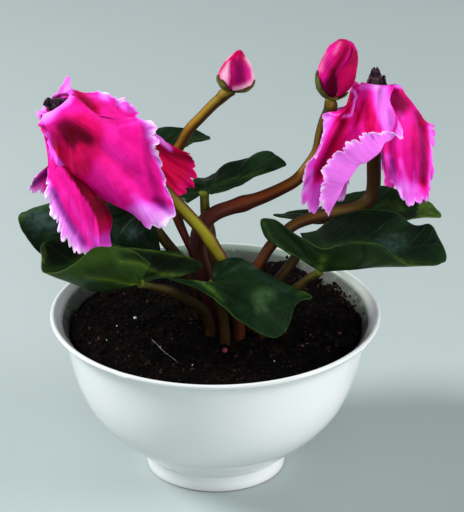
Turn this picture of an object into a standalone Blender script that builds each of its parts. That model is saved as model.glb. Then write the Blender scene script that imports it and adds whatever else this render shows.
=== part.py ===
"""A potted cyclamen: two fringed blooms, two buds and seven leaves in a white porcelain bowl.

Lengths are in millimetres here and become metres where a mesh is made. Places are measured from
the bowl's own axis at the height of its foot; HOLDER_X then sets the whole plant over the origin.
"""
import bpy
import bmesh
import math
from mathutils import Matrix, Vector

MM = 0.001

# Bowl
HOLDER_X = -5.2
RIM_RADIUS = 60.0
RIM_HEIGHT = 61.4
FOOT_RADIUS = 25.7
FOOT_HEIGHT = 6.5
RECESS_RADIUS = 22.4
RECESS_HEIGHT = 3.0
BOWL_SIDES = 36

# Soil and the corm buried in it
SOIL_HEIGHT = 56.0
SOIL_SIDES = 28
HOLE_SIDES = 12
SEAT_GAP = 0.3
CORM_CENTRE = Vector((5, -5, 46.5))
CORM_RADIUS = 17.5
CORM_HALF_HEIGHT = 8.0
STEM_FOOT_HEIGHT = 49.5
SOIL_WALL_GAP = 0.4

# Blades and stems
LEAF_THICKNESS = 0.75
PETAL_THICKNESS = 0.7
SEPAL_THICKNESS = 0.7
FRINGE_DEPTH = 0.7
STALK_SIDES = 8
PETIOLE_SIDES = 6
PETIOLE_RADIUS = 1.8
PETIOLE_TOP_RADIUS = 1.1
SCALLOP = 0.25

# Corolla
CUP_RADIUS = 4.4
CUP_DEPTH = 7.0
CUP_THICKNESS = 0.9
COLLAR_RADIUS = 8.3
COLLAR_HEIGHT = 1.4
ROOT_DEPTH = 3.0
LIP_REACH = 1.0
UNDER_TIER = 1.3
CENTRE_HEIGHT_LEFT = 2.6
CENTRE_HEIGHT_RIGHT = 5.6

# Sepals
CALYX_DEPTH = 3.4
CALYX_DROP = CUP_DEPTH + CUP_THICKNESS / 2 + SEAT_GAP + SEPAL_THICKNESS / 2 - CALYX_DEPTH
CALYX_RADIUS = CUP_RADIUS + CUP_THICKNESS / 2 + SEAT_GAP + SEPAL_THICKNESS / 2
CALYX_TIP = 1.0
CALYX_NOTCH = 0.4
BUD_CLEARANCE = SEPAL_THICKNESS / 2 + SEAT_GAP + 0.1

# Colours
PORCELAIN = (0.83, 0.85, 0.86)
SOIL_BROWN = (0.035, 0.022, 0.018)
CORM_BROWN = (0.12, 0.07, 0.05)
LEAF_GREEN = (0.03, 0.10, 0.045)
LEAF_LIGHT = (0.06, 0.15, 0.04)
PETIOLE_OLIVE = (0.16, 0.15, 0.05)
STALK_BROWN = (0.24, 0.08, 0.045)
STALK_YELLOW = (0.35, 0.30, 0.05)
PETAL_PINK = (0.80, 0.05, 0.35)
SEPAL_GREEN = (0.16, 0.19, 0.05)
WITHERED = (0.08, 0.05, 0.05)

# Each leaf: the joint that its petiole carries, then ribs round it as (middle, edge)
LEAVES = {
    "leaf_front_left": ((-26.5, -26, 84.5), [
        ((-25, -28, 89), (-22, -29, 92)),
        ((-28, -30, 91), (-29, -32, 97)),
        ((-32, -32, 92), (-35, -34, 102)),
        ((-36, -33, 91), (-42, -34, 102)),
        ((-40, -32, 88), (-48, -33, 96)),
        ((-42, -30, 84), (-54, -30, 90)),
        ((-43, -27, 82), (-60, -24, 88)),
        ((-44, -23, 82), (-61, -19, 91)),
        ((-43, -19, 84), (-61, -15, 95)),
        ((-41, -16, 85), (-55, -11, 96)),
        ((-38, -15, 86), (-46, -8, 94)),
        ((-34, -15, 86), (-37, -7, 91)),
        ((-28, -17, 86), (-26, -10, 90)),
        ((-23, -19, 87), (-16, -13, 91)),
        ((-20, -21, 87), (-9, -16, 90)),
        ((-18, -23, 87), (-4, -19, 88)),
        ((-20, -25, 86), (-12, -23, 86))]),
    "leaf_back_left": ((-25.5, -3, 104), [
        ((-24, -3, 101), (-22, -4, 98)),
        ((-23, -5, 97), (-20, -5, 91)),
        ((-25, -6, 94), (-20, -6, 86)),
        ((-29, -7, 93), (-26, -6, 80)),
        ((-33, -7, 92), (-37, -5, 78)),
        ((-38, -6, 92), (-48, -3, 78)),
        ((-43, -5, 93), (-61, -1, 82)),
        ((-47, -4, 95), (-67, 1, 88)),
        ((-48, -3, 98), (-71, 3, 94)),
        ((-48, -1, 101), (-70, 5, 98)),
        ((-45, 1, 102), (-61, 8, 100)),
        ((-40, 2, 103), (-50, 10, 103)),
        ((-34, 2, 104), (-40, 11, 105)),
        ((-29, 0, 104), (-30, 6, 106))]),
    "leaf_front_middle": ((-1, -24, 84), [
        ((-8, -27, 86), (-17, -29, 88)),
        ((-5, -28, 84), (-8, -33, 87)),
        ((-1, -29, 82), (1, -35, 82)),
        ((3, -30, 79), (9, -37, 75)),
        ((8, -31, 78), (16, -39, 71)),
        ((10, -31, 79), (22, -38, 69)),
        ((12, -30, 81), (26, -34, 72)),
        ((12, -28, 82), (29, -29, 78)),
        ((11, -26, 83), (34, -25, 79)),
        ((10, -24, 84), (25, -22, 82)),
        ((8, -22, 86), (17, -19, 86)),
        ((5, -22, 87), (11, -18, 90)),
        ((2, -22, 87), (6, -18, 91)),
        ((-1, -23, 87), (0, -21, 90))]),
    "leaf_right": ((37.5, -18, 85.5), [
        ((32, -21, 90), (26, -24, 95)),
        ((27, -23, 95), (18, -26, 102)),
        ((27, -24, 98), (17, -27, 108)),
        ((32, -23, 96), (29, -26, 103)),
        ((37, -21, 91), (37, -24, 97)),
        ((42, -22, 91), (45, -26, 100)),
        ((47, -23, 91), (53, -27, 101)),
        ((51, -22, 90), (59, -26, 99)),
        ((54, -20, 88), (64, -23, 93)),
        ((57, -17, 86), (70, -18, 88)),
        ((58, -14, 86), (77, -12, 85)),
        ((58, -11, 87), (82, -7, 86)),
        ((57, -9, 89), (80, -2, 90)),
        ((54, -7, 91), (76, 2, 94)),
        ((51, -5, 91), (65, 6, 97)),
        ((46, -4, 91), (54, 7, 98)),
        ((41, -6, 91), (45, 5, 97)),
        ((38, -9, 90), (38, 1, 94)),
        ((35, -12, 88), (31, -4, 92))]),
    "leaf_top": ((-4, 6, 106), [
        ((-7, 4, 104), (-9, 3, 102)),
        ((-8, 7, 105), (-13, 8, 104)),
        ((-6, 10, 107), (-8, 15, 107)),
        ((-2, 12, 107), (-3, 18, 106)),
        ((1, 13, 108), (4, 22, 110)),
        ((4, 13, 108), (11, 23, 111)),
        ((7, 13, 108), (19, 23, 114)),
        ((8, 12, 108), (23, 19, 114)),
        ((8, 10, 108), (26, 14, 112)),
        ((6, 8, 108), (19, 10, 112)),
        ((3, 7, 107), (12, 7, 109)),
        ((0, 5, 107), (5, 5, 107)),
        ((-2, 4, 106), (-1, 3, 106))]),
    "leaf_top_left": ((-20, 17, 117.5), [
        ((-22, 16, 117), (-24, 14, 116)),
        ((-22, 18, 118), (-26, 18, 118)),
        ((-21, 20, 120), (-23, 25, 122)),
        ((-17, 21, 120), (-14, 27, 122)),
        ((-14, 21, 120), (-8, 25, 121)),
        ((-12, 19, 120), (-2, 20, 120)),
        ((-13, 17, 119), (-5, 16, 120)),
        ((-15, 15, 119), (-11, 14, 118)),
        ((-18, 15, 117), (-16, 13, 117))]),
    "leaf_back_right": ((41.5, 12, 90.5), [
        ((36, 14, 90), (30, 15, 91)),
        ((32, 17, 90), (22, 18, 92)),
        ((35, 20, 91), (28, 22, 91)),
        ((40, 22, 91), (37, 26, 91)),
        ((44, 25, 91), (46, 31, 92)),
        ((49, 27, 91), (53, 34, 93)),
        ((54, 28, 91), (61, 35, 94)),
        ((58, 28, 90), (69, 33, 94)),
        ((60, 26, 90), (79, 28, 93)),
        ((60, 23, 90), (82, 20, 90)),
        ((57, 18, 89), (72, 14, 88)),
        ((52, 15, 89), (62, 11, 88)),
        ((47, 12, 90), (52, 9, 89))]),
}

# Each stalk: its radius and its route from just under what it carries to just over the soil
STALKS = {
    "stalk_small_bud": (1.9, [
        (5, 6, 142.2), (2, 6.5, 140.5), (-1, 7, 138), (-5, 8, 133), (-9, 9, 128),
        (-12, 10, 123), (-15, 10.5, 117), (-16, 10, 109), (-15, 8.5, 101), (-13, 7, 95), (-10, 6, 88),
        (-7, 5, 81), (-5, 4, 74), (-3, 2, 65), (-1, -1, 58)]),
    "stalk_big_bud": (2.3, [
        (40.7, 13, 135), (39.2, 15, 130), (38, 16, 124), (36, 16.5, 117),
        (33, 16, 112), (29, 14.5, 108), (24, 12.5, 104.5), (17, 9, 102.5), (11, 6, 101.5), (5, 3, 101),
        (0, 0, 100), (-4, -2.5, 97), (-6, -4.5, 93), (-6, -5, 88), (-4, -6, 80), (-2, -7, 69),
        (0, -7, 59)]),
    "stalk_left_bloom": (2.5, [
        (-49.6, -9.4, 138.3), (-45, -9, 136), (-34, -8, 127), (-23, -7, 117),
        (-15, -7, 109), (-8, -8, 102), (-3, -9.5, 96.5), (1, -11, 91), (4, -12, 86), (6, -13, 78),
        (8, -13.5, 68), (8.5, -13.5, 59)]),
    "stalk_right_bloom": (2.4, [
        (57, 20, 123), (57, 20, 112), (57, 20, 102), (56, 19.5, 97.5),
        (53.5, 18.5, 95), (49.5, 17, 94), (43.5, 14, 93.5), (37, 10.5, 93), (31, 7.5, 92),
        (26, 5, 90), (21, 2.5, 86), (17.5, 0.5, 81), (15, -1, 76), (13.5, -3, 69), (12, -5, 59)]),
}

# Each petiole: how far short of the leaf's joint it ends, and its route down from there
PETIOLES = {
    "leaf_front_left": (2.3, [(-22, -23.5, 82), (-17, -21, 79), (-12.5, -18, 75), (-8, -15, 70),
                              (-5, -13, 65), (-4, -12, 60)]),
    "leaf_back_left": (2.3, [(-25, 1, 102), (-23, 0, 97), (-18, 0, 89), (-14, 1, 83), (-11, 2, 77),
                             (-9, 3, 70), (-7, 4, 64), (-6, 4, 59)]),
    "leaf_front_middle": (1.3, [(1, -21, 79), (2, -19, 73), (3, -18, 66), (3.5, -18, 60)]),
    "leaf_right": (1.2, [(32, -16, 83.5), (27, -14.5, 80), (24, -14, 77), (19.5, -13, 71),
                         (16.5, -12, 62)]),
    "leaf_top": (1.2, [(-3, 5, 97), (-1.5, 4, 91), (0, 3, 84), (1.5, 2.5, 75), (2.5, 2, 66),
                       (3, 1.5, 59)]),
    "leaf_top_left": (1.6, [(-18.5, 15.5, 110), (-17, 14, 99), (-14, 12, 89), (-10, 10, 79),
                            (-5, 8, 67), (-2, 7, 59)]),
    "leaf_back_right": (1.6, [(38, 10, 88), (34.5, 8, 86), (31, 6, 83), (28, 4, 79), (24.5, 2, 75),
                              (20.5, 0, 70), (17, -2, 60)]),
}

# Each petal: the arc of the mouth that it springs from, its tier, and ribs as (belly, fold, edge)
LEFT_BLOOM = {
    "mouth": (-54.5, -12, 147.5),
    "axis": (-0.45, -0.25, 0.86),
    "petals": [
        (-150, 0, 0, [
            ((-59, -16, 139), (-58, -17, 135), (-58, -16, 130)),
            ((-55, -20, 137), (-53, -20, 129), (-52, -18, 123)),
            ((-49, -23, 135), (-46, -23, 126), (-42, -18, 115)),
            ((-44, -25, 136), (-37, -23, 122), (-30, -17, 108)),
            ((-42, -25, 138), (-31, -22, 120), (-23, -16, 101)),
            ((-40, -25, 140), (-28, -21, 121), (-18, -15, 102)),
            ((-38, -24, 141), (-25, -20, 124), (-14, -13, 106)),
            ((-37, -23, 142), (-25, -20, 129), (-17, -16, 118)),
            ((-38, -21, 143), (-27, -18, 134), (-20, -16, 131)),
            ((-40, -18, 144), (-30, -15, 138), (-22, -12, 139)),
            ((-42, -15, 144), (-35, -12, 141), (-30, -8, 140))]),
        (-190, -140, 1, [
            ((-60, -12, 138), (-58, -14, 128), (-58, -15, 123)),
            ((-59, -12, 136), (-56, -16, 123), (-59, -16, 117)),
            ((-57, -13, 135), (-54, -18, 119), (-58, -17, 110)),
            ((-56, -13, 134), (-52, -20, 116), (-54, -19, 104)),
            ((-54, -13, 133), (-50, -21, 114), (-51, -21, 98)),
            ((-53, -13, 133), (-47, -22, 112), (-46, -23, 95)),
            ((-52, -13, 133), (-44, -22, 111), (-41, -24, 95)),
            ((-50, -12, 133), (-42, -20, 111), (-37, -22, 97)),
            ((-49, -11, 132), (-42, -17, 114), (-36, -18, 104)),
            ((-48, -10, 132), (-43, -14, 118), (-39, -15, 111))]),
        (165, 125, 0, [
            ((-61, -8, 140), (-61, -6, 127), (-58, -7, 119)),
            ((-61, -7, 138), (-62, -4, 123), (-62, -5, 118)),
            ((-60, -6, 137), (-62, -2, 119), (-66, -4, 111)),
            ((-59, -4, 136), (-60, 0, 117), (-63, -1, 109)),
            ((-57, -3, 136), (-58, 2, 117), (-58, 1, 107))]),
        (110, 5, 0, [
            ((-51, -4, 149), (-49, 0, 149), (-51, 2, 150)),
            ((-48, -5, 148), (-46, 3, 145), (-45, 9, 143)),
            ((-47, -6, 147), (-42, 2, 143), (-40, 10, 142)),
            ((-45, -7, 146), (-39, 0, 142), (-35, 8, 142)),
            ((-44, -8, 145), (-37, -2, 141), (-30, 5, 141)),
            ((-43, -9, 144), (-36, -4, 140), (-27, 1, 138)),
            ((-42, -10, 143), (-36, -6, 139), (-29, -3, 136))]),
        (60, 15, 1, [
            ((-45, -1, 142), (-30, 4, 136), (-20, 6, 127)),
            ((-44, 0, 140), (-28, 5, 133), (-15, 6, 122)),
            ((-44, 0, 139), (-27, 5, 130), (-9, 5, 121)),
            ((-43, 0, 137), (-26, 5, 127), (-6, 4, 117)),
            ((-43, 0, 136), (-26, 4, 124), (-7, 3, 111)),
            ((-43, -1, 135), (-28, 3, 122), (-12, 2, 107)),
            ((-44, -2, 134), (-30, 1, 121), (-19, 0, 109))]),
    ],
}
RIGHT_BLOOM = {
    "mouth": (57.5, 20, 141.5),
    "axis": (0.05, 0.10, 0.99),
    "petals": [
        (-138, -42, 0, [
            ((49, 13, 131), (43, 8, 117), (39, 6, 100)),
            ((49, 12, 131), (44, 6, 114), (41, 3, 98)),
            ((51, 11, 132), (47, 3, 114), (38, -4, 117)),
            ((52, 10, 133), (51, 3, 118), (41, -4, 123)),
            ((54, 10, 133), (53, 4, 120), (47, -4, 128)),
            ((56, 10, 134), (57, 5, 123), (52, -2, 131)),
            ((58, 11, 134), (60, 6, 125), (57, 0, 131)),
            ((61, 13, 134), (63, 8, 126), (62, 4, 130)),
            ((62, 14, 136), (65, 10, 130), (67, 7, 126)),
            ((62, 16, 138), (64, 13, 134), (65, 11, 132))]),
        (-144, -192, 1, [
            ((50, 14, 136), (50, 12, 134), (50, 10, 133)),
            ((48, 14, 136), (47, 11, 132), (46, 9, 128)),
            ((48, 15, 135), (45, 10, 128), (40, 8, 118)),
            ((48, 16, 134), (43, 10, 127), (36, 7, 109)),
            ((47, 17, 134), (42, 10, 126), (37, 6, 98)),
            ((47, 17, 134), (41, 10, 126), (33, 6, 99)),
            ((47, 18, 134), (40, 11, 127), (30, 7, 103)),
            ((48, 17, 134), (39, 10, 128), (32, 7, 113)),
            ((48, 16, 135), (42, 9, 130), (37, 7, 121)),
            ((49, 16, 137), (45, 9, 132), (40, 6, 130))]),
        (-38, 38, 0, [
            ((63, 18, 139), (63, 15, 132), (60, 12, 119)),
            ((65, 18, 138), (65, 14, 129), (60, 11, 111)),
            ((66, 18, 137), (67, 14, 127), (65, 11, 103)),
            ((67, 19, 137), (69, 14, 125), (69, 11, 97)),
            ((68, 20, 136), (71, 15, 124), (74, 12, 98)),
            ((69, 21, 135), (73, 16, 124), (77, 14, 102)),
            ((69, 23, 134), (75, 18, 123), (78, 17, 110)),
            ((69, 25, 133), (76, 21, 122), (78, 21, 117)),
            ((69, 27, 133), (75, 25, 125), (79, 25, 125)),
            ((69, 29, 134), (73, 28, 128), (76, 29, 123))]),
        (44, 94, 1, [
            ((67, 28, 135), (67, 36, 123), (67, 38, 108)),
            ((65, 30, 135), (64, 38, 122), (64, 38, 96)),
            ((63, 31, 135), (62, 39, 122), (63, 37, 90)),
            ((60, 32, 135), (59, 39, 122), (60, 37, 97)),
            ((58, 32, 136), (56, 38, 123), (55, 38, 108))]),
        (100, 166, 0, [
            ((57, 32, 136), (53, 37, 124), (51, 36, 109)),
            ((54, 31, 136), (50, 35, 125), (49, 31, 97)),
            ((52, 30, 136), (47, 32, 127), (45, 27, 93)),
            ((51, 28, 137), (45, 29, 129), (44, 26, 109)),
            ((49, 26, 137), (44, 26, 131), (42, 23, 127))]),
    ],
}

# Each bud: foot, tip and widest radius
BUDS = {
    "small": ((6.5, 6, 145.2), (8.5, 5, 159.5), 6.2),
    "big": ((41.4, 12, 139.2), (45.8, 12, 160.5), 7.0),
}


def clear_scene():
    for thing in list(bpy.data.objects):
        bpy.data.objects.remove(thing, do_unlink=True)


def material(name, colour, roughness, metallic=0.0):
    finish = bpy.data.materials.new(name)
    finish.use_nodes = True
    shader = finish.node_tree.nodes["Principled BSDF"]
    shader.inputs["Base Color"].default_value = (*colour, 1.0)
    shader.inputs["Roughness"].default_value = roughness
    shader.inputs["Metallic"].default_value = metallic
    return finish


def add_object(name, mesh, finish):
    thing = bpy.data.objects.new(name, mesh)
    bpy.context.collection.objects.link(thing)
    mesh.materials.clear()
    mesh.materials.append(finish)
    thing.parent = holder
    return thing


def mesh_from(points, faces, name):
    """A closed mesh in metres, its faces split into triangles and turned outward."""
    mesh = bpy.data.meshes.new(name)
    mesh.from_pydata([Vector(p) * MM for p in points], [], faces)
    work = bmesh.new()
    work.from_mesh(mesh)
    bmesh.ops.triangulate(work, faces=[f for f in work.faces if len(f.verts) > 3])
    bmesh.ops.recalc_face_normals(work, faces=work.faces)
    if work.calc_volume(signed=True) < 0:
        bmesh.ops.reverse_faces(work, faces=work.faces)
    work.to_mesh(mesh)
    work.free()
    return mesh


def smooth_path(points, steps):
    """Points on a Catmull-Rom curve through the given ones, with this many steps a span."""
    points = [Vector(p) for p in points]
    ends = [2 * points[0] - points[1]] + points + [2 * points[-1] - points[-2]]
    path = []
    for i in range(1, len(ends) - 2):
        before, start, stop, after = ends[i - 1:i + 3]
        for k in range(steps):
            t = k / steps
            path.append(0.5 * (2 * start + (stop - before) * t
                               + (2 * before - 5 * start + 4 * stop - after) * t ** 2
                               + (3 * start - before - 3 * stop + after) * t ** 3))
    path.append(points[-1])
    return path


def tube(start, rings, stop, name):
    """A closed solid through rings that have the same number of points, with a point at each end."""
    sides = len(rings[0])
    points = [start] + [point for ring in rings for point in ring] + [stop]
    last = 1 + (len(rings) - 1) * sides
    faces = []
    for k in range(sides):
        after = (k + 1) % sides
        faces.append((0, 1 + after, 1 + k))
        for low in range(1, last, sides):
            high = low + sides
            faces.append((low + k, low + after, high + after, high + k))
        faces.append((last + k, last + after, len(points) - 1))
    return mesh_from(points, faces, name)


def lathe(profile, sides, name):
    """A solid of revolution about Z from (radius, height) points that start and end on the axis."""
    angles = [2 * math.pi * k / sides for k in range(sides)]
    rings = [[(r * math.cos(a), r * math.sin(a), z) for a in angles] for r, z in profile[1:-1]]
    return tube((0, 0, profile[0][1]), rings, (0, 0, profile[-1][1]), name)


def join_by(operation, target, cutters, solver="EXACT"):
    """One Boolean with a collection of cutters, applied, and the collection's objects removed."""
    group = bpy.data.collections.new("cutters")
    bpy.context.scene.collection.children.link(group)
    for cutter in cutters:
        for owner in list(cutter.users_collection):
            owner.objects.unlink(cutter)
        group.objects.link(cutter)
    step = target.modifiers.new("join", "BOOLEAN")
    step.operation = operation
    step.operand_type = "COLLECTION"
    step.collection = group
    step.solver = solver
    bpy.context.view_layer.update()
    evaluated = target.evaluated_get(bpy.context.evaluated_depsgraph_get())
    result = bpy.data.meshes.new_from_object(evaluated)
    target.modifiers.remove(step)
    target.data = result
    for cutter in cutters:
        bpy.data.objects.remove(cutter, do_unlink=True)
    bpy.data.collections.remove(group)


def keep_largest(mesh):
    """Drops the loose scraps and sealed bubbles that a union of crossing blades can leave."""
    work = bmesh.new()
    work.from_mesh(mesh)
    bmesh.ops.remove_doubles(work, verts=work.verts, dist=1e-6)
    bmesh.ops.triangulate(work, faces=work.faces)
    left = set(work.faces)
    shells = []
    while left:
        seed = left.pop()
        shell = {seed}
        front = [seed]
        while front:
            face = front.pop()
            for edge in face.edges:
                for other in edge.link_faces:
                    if other in left:
                        left.remove(other)
                        shell.add(other)
                        front.append(other)
        shells.append(shell)
    shells.sort(key=len)
    for shell in shells[:-1]:
        bmesh.ops.delete(work, geom=list(shell), context="FACES")
    work.to_mesh(mesh)
    work.free()


def grid_from_ribs(ribs, across, along):
    """Rows of points over a surface that runs smoothly through every rib's own points."""
    controls = [smooth_path([rib[j] for rib in ribs], across) for j in range(len(ribs[0]))]
    columns = [smooth_path([row[k] for row in controls], along) for k in range(len(controls[0]))]
    return [[column[j] for column in columns] for j in range(len(columns[0]))]


def with_teeth(rows, depth):
    """The same rows with a last one of twice the columns, drawn in and out into a fringe."""
    margin = []
    inner, outer = rows[-2], rows[-1]
    for k in range(len(outer)):
        reach = (outer[k] - inner[k]).normalized() * depth
        margin.append(outer[k] + reach)
        if k + 1 < len(outer):
            middle = (outer[k] + outer[k + 1]) / 2
            margin.append(middle - reach)
    return rows[:-1] + [margin]


def strip_triangles(low, high):
    """Triangles between two rows of point numbers; the second row may have twice the columns."""
    faces = []
    if len(high) == len(low):
        for k in range(len(low) - 1):
            faces.append((low[k], low[k + 1], high[k]))
            faces.append((low[k + 1], high[k + 1], high[k]))
    else:
        for k in range(len(low) - 1):
            faces.append((low[k], high[2 * k + 1], high[2 * k]))
            faces.append((low[k], low[k + 1], high[2 * k + 1]))
            faces.append((low[k + 1], high[2 * k + 2], high[2 * k + 1]))
    return faces


def thicken(rows, thickness, name, closed=False):
    """A thin closed solid either side of the rows of points, split alike on both faces.

    A first row of one point is the centre that the other rows run round."""
    numbers = []
    points = []
    for row in rows:
        numbers.append(list(range(len(points), len(points) + len(row))))
        points.extend(row)
    if closed:
        numbers = [row + [row[0]] if len(row) > 1 else row for row in numbers]
    faces = []
    for low, high in zip(numbers[:-1], numbers[1:]):
        if len(low) == 1:
            faces.extend((low[0], high[k + 1], high[k]) for k in range(len(high) - 1))
        else:
            faces.extend(strip_triangles(low, high))
    normals = [Vector() for _ in points]
    for a, b, c in faces:
        normal = (points[b] - points[a]).cross(points[c] - points[a])
        for corner in (a, b, c):
            normals[corner] += normal
    half = thickness / 2
    shift = len(points)
    both = [p + n.normalized() * half for p, n in zip(points, normals)]
    both += [p - n.normalized() * half for p, n in zip(points, normals)]
    solid = list(faces) + [(c + shift, b + shift, a + shift) for a, b, c in faces]
    used = set()
    for a, b, c in faces:
        used.update(((a, b), (b, c), (c, a)))
    for a, b in used:
        if (b, a) not in used:
            solid.append((b, a, a + shift))
            solid.append((b, a + shift, b + shift))
    return mesh_from(both, solid, name)


def bowl_profile():
    """The bowl's section, from the recess under the foot, up its outside and down its inside."""
    return [
        (0, RECESS_HEIGHT), (RECESS_RADIUS - 1, RECESS_HEIGHT), (RECESS_RADIUS, 0),
        (FOOT_RADIUS - 0.3, 0), (FOOT_RADIUS, 0.5), (FOOT_RADIUS + 0.3, FOOT_HEIGHT), (29.5, 9.6),
        (34.1, 14), (43.6, 22.5), (49.1, 32), (52.4, 43), (54.6, 53), (56.4, 57),
        (59.4, RIM_HEIGHT - 1.5), (RIM_RADIUS, RIM_HEIGHT - 0.6), (RIM_RADIUS - 0.8, RIM_HEIGHT),
        (57, 60.4), (53.4, 56), (51.4, 48.5), (46.9, 33), (40.6, 22.8), (32, 14.8), (20, 8.6), (0, 7),
    ]


def build_bowl():
    mesh = lathe(bowl_profile(), BOWL_SIDES, "bowl")
    thing = add_object("bowl", mesh, material("porcelain", PORCELAIN, 0.2))
    mesh.shade_smooth()
    mesh.set_sharp_from_angle(angle=math.radians(40))
    return thing


def inner_radius(height):
    """The radius of the bowl's inner wall at a height over its floor."""
    wall = bowl_profile()[-7:-1]
    for (high_r, high_z), (low_r, low_z) in zip(wall[:-1], wall[1:]):
        if low_z <= height <= high_z:
            return low_r + (high_r - low_r) * (height - low_z) / (high_z - low_z)
    return wall[0][0]


def soil_relief(x, y):
    return 0.45 * math.sin(0.42 * x + 1.3) * math.cos(0.37 * y) + 0.3 * math.sin(0.8 * x - 0.6 * y)


def stem_feet():
    """Every stem's foot in the soil, as (x, y, radius)."""
    feet = [(route[-1][0], route[-1][1], radius) for radius, route in STALKS.values()]
    feet += [(route[-1][0], route[-1][1], PETIOLE_RADIUS) for seat, route in PETIOLES.values()]
    return feet


def hole_cutters():
    cutters = []
    finish = material("cutter", (1, 1, 1), 1)
    for x, y, radius in stem_feet():
        bottom = STEM_FOOT_HEIGHT - SEAT_GAP
        profile = [(0, bottom), (radius + SEAT_GAP, bottom), (radius + SEAT_GAP, 62), (0, 62)]
        mesh = lathe(profile, HOLE_SIDES, "hole")
        mesh.transform(Matrix.Translation((x * MM, y * MM, 0)))
        cutters.append(add_object("hole", mesh, finish))
    return cutters


def corm_mesh(grow):
    radius = CORM_RADIUS + grow
    half_height = CORM_HALF_HEIGHT + grow
    angles = [math.pi * k / 6 for k in range(7)]
    profile = [(radius * math.sin(a), -half_height * math.cos(a)) for a in angles]
    mesh = lathe(profile, 16, "corm")
    mesh.transform(Matrix.Translation(CORM_CENTRE * MM))
    return mesh


def build_soil():
    """Soil that fills the bowl to just under its rim, hollowed for the corm and the stems."""
    wall_heights = (14.8, 22.8, 33, 48.5, SOIL_HEIGHT - 1)
    profile = [(0, 7.5), (19.5, 9)]
    profile += [(inner_radius(z) - SOIL_WALL_GAP, z) for z in wall_heights]
    profile += [(r, SOIL_HEIGHT) for r in (48.5, 40, 31, 22, 12, 0)]
    mesh = lathe(profile, SOIL_SIDES, "soil")
    for corner in mesh.vertices:
        x, y, z = corner.co / MM
        if z > SOIL_HEIGHT - 0.5:
            corner.co.z = (z + soil_relief(x, y)) * MM
    thing = add_object("soil", mesh, material("soil", SOIL_BROWN, 0.95))
    hollow = add_object("hollow", corm_mesh(SEAT_GAP), material("cutter", (1, 1, 1), 1))
    join_by("DIFFERENCE", thing, [hollow] + hole_cutters())
    return thing


def build_corm():
    thing = add_object("corm", corm_mesh(0), material("corm", CORM_BROWN, 0.9))
    join_by("DIFFERENCE", thing, hole_cutters())
    return thing


def stem_path(route):
    """The route, then straight down into the stem's hole."""
    path = [Vector(p) for p in route]
    foot = path[-1]
    path.append(Vector((foot.x, foot.y, SOIL_HEIGHT + 1.5)))
    path.append(Vector((foot.x, foot.y, STEM_FOOT_HEIGHT)))
    return path


def build_stem(name, route, radii, sides, axis, finish):
    """A round stem; it starts square to the axis at its top and swells from the first radius
    to the second over its first four sections."""
    path = stem_path(route)
    side = Vector((0, 1, 0))
    rings = []
    for k, place in enumerate(path):
        ahead = (path[min(k + 1, len(path) - 1)] - path[max(k - 1, 0)]).normalized()
        if k == 0:
            ahead = -axis
        elif k >= len(path) - 2:
            ahead = Vector((0, 0, -1))
        side = (side - ahead * side.dot(ahead)).normalized()
        other = ahead.cross(side)
        radius = radii[1] + (radii[0] - radii[1]) * max(0.0, 1 - k / 4)
        angles = [2 * math.pi * s / sides for s in range(sides)]
        rings.append([place + radius * (side * math.cos(a) + other * math.sin(a)) for a in angles])
    mesh = tube(path[0], rings, path[-1], name)
    mesh.shade_smooth()
    return add_object(name, mesh, finish)


def build_leaf(name, joint, ribs, finish):
    """One heart-shaped blade: ribs run out from the joint and the margin is faintly scalloped."""
    joint = Vector(joint)
    fan = [[joint, Vector(middle), Vector(edge)] for middle, edge in ribs]
    rows = grid_from_ribs(fan, 2, 2)
    for k, place in enumerate(rows[-1]):
        reach = (place - rows[-2][k]).normalized()
        rows[-1][k] = place + reach * (SCALLOP if k % 2 else -SCALLOP)
    rows[0] = [joint]
    mesh = thicken(rows, LEAF_THICKNESS, name)
    return add_object(name, mesh, finish)


def build_petiole(name, finish):
    """A leaf's own stem, brought up to just short of the leaf's joint."""
    joint = Vector(LEAVES[name][0])
    seat, route = PETIOLES[name]
    axis = (joint - Vector(route[0])).normalized()
    route = [joint - axis * seat] + route
    radii = (PETIOLE_TOP_RADIUS, PETIOLE_RADIUS)
    return build_stem(name.replace("leaf", "petiole"), route, radii, PETIOLE_SIDES, axis, finish)


def stalk_seats():
    """Each stalk's top, just under the calyx or the sepals it carries, with the axis there."""
    calyx = CALYX_DROP + CALYX_DEPTH + SEPAL_THICKNESS / 2 + SEAT_GAP
    sepals = BUD_CLEARANCE + SEPAL_THICKNESS / 2 + SEAT_GAP
    seats = {}
    for side, bloom in (("left", LEFT_BLOOM), ("right", RIGHT_BLOOM)):
        axis = Vector(bloom["axis"]).normalized()
        seats["stalk_%s_bloom" % side] = (Vector(bloom["mouth"]) - axis * calyx, axis)
    for side, (foot, tip, width) in BUDS.items():
        axis = (Vector(tip) - Vector(foot)).normalized()
        seats["stalk_%s_bud" % side] = (Vector(foot) - axis * sepals, axis)
    return seats


def frame_of(axis):
    """Two directions square to a flower's axis; the first points along +X as nearly as it can."""
    axis = Vector(axis).normalized()
    right = Vector((1, 0, 0))
    right = (right - axis * right.dot(axis)).normalized()
    return axis, right, axis.cross(right)


def ring_point(mouth, frame, radius, height, degrees):
    axis, right, back = frame
    angle = math.radians(degrees)
    return mouth + axis * height + radius * (right * math.cos(angle) + back * math.sin(angle))


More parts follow.
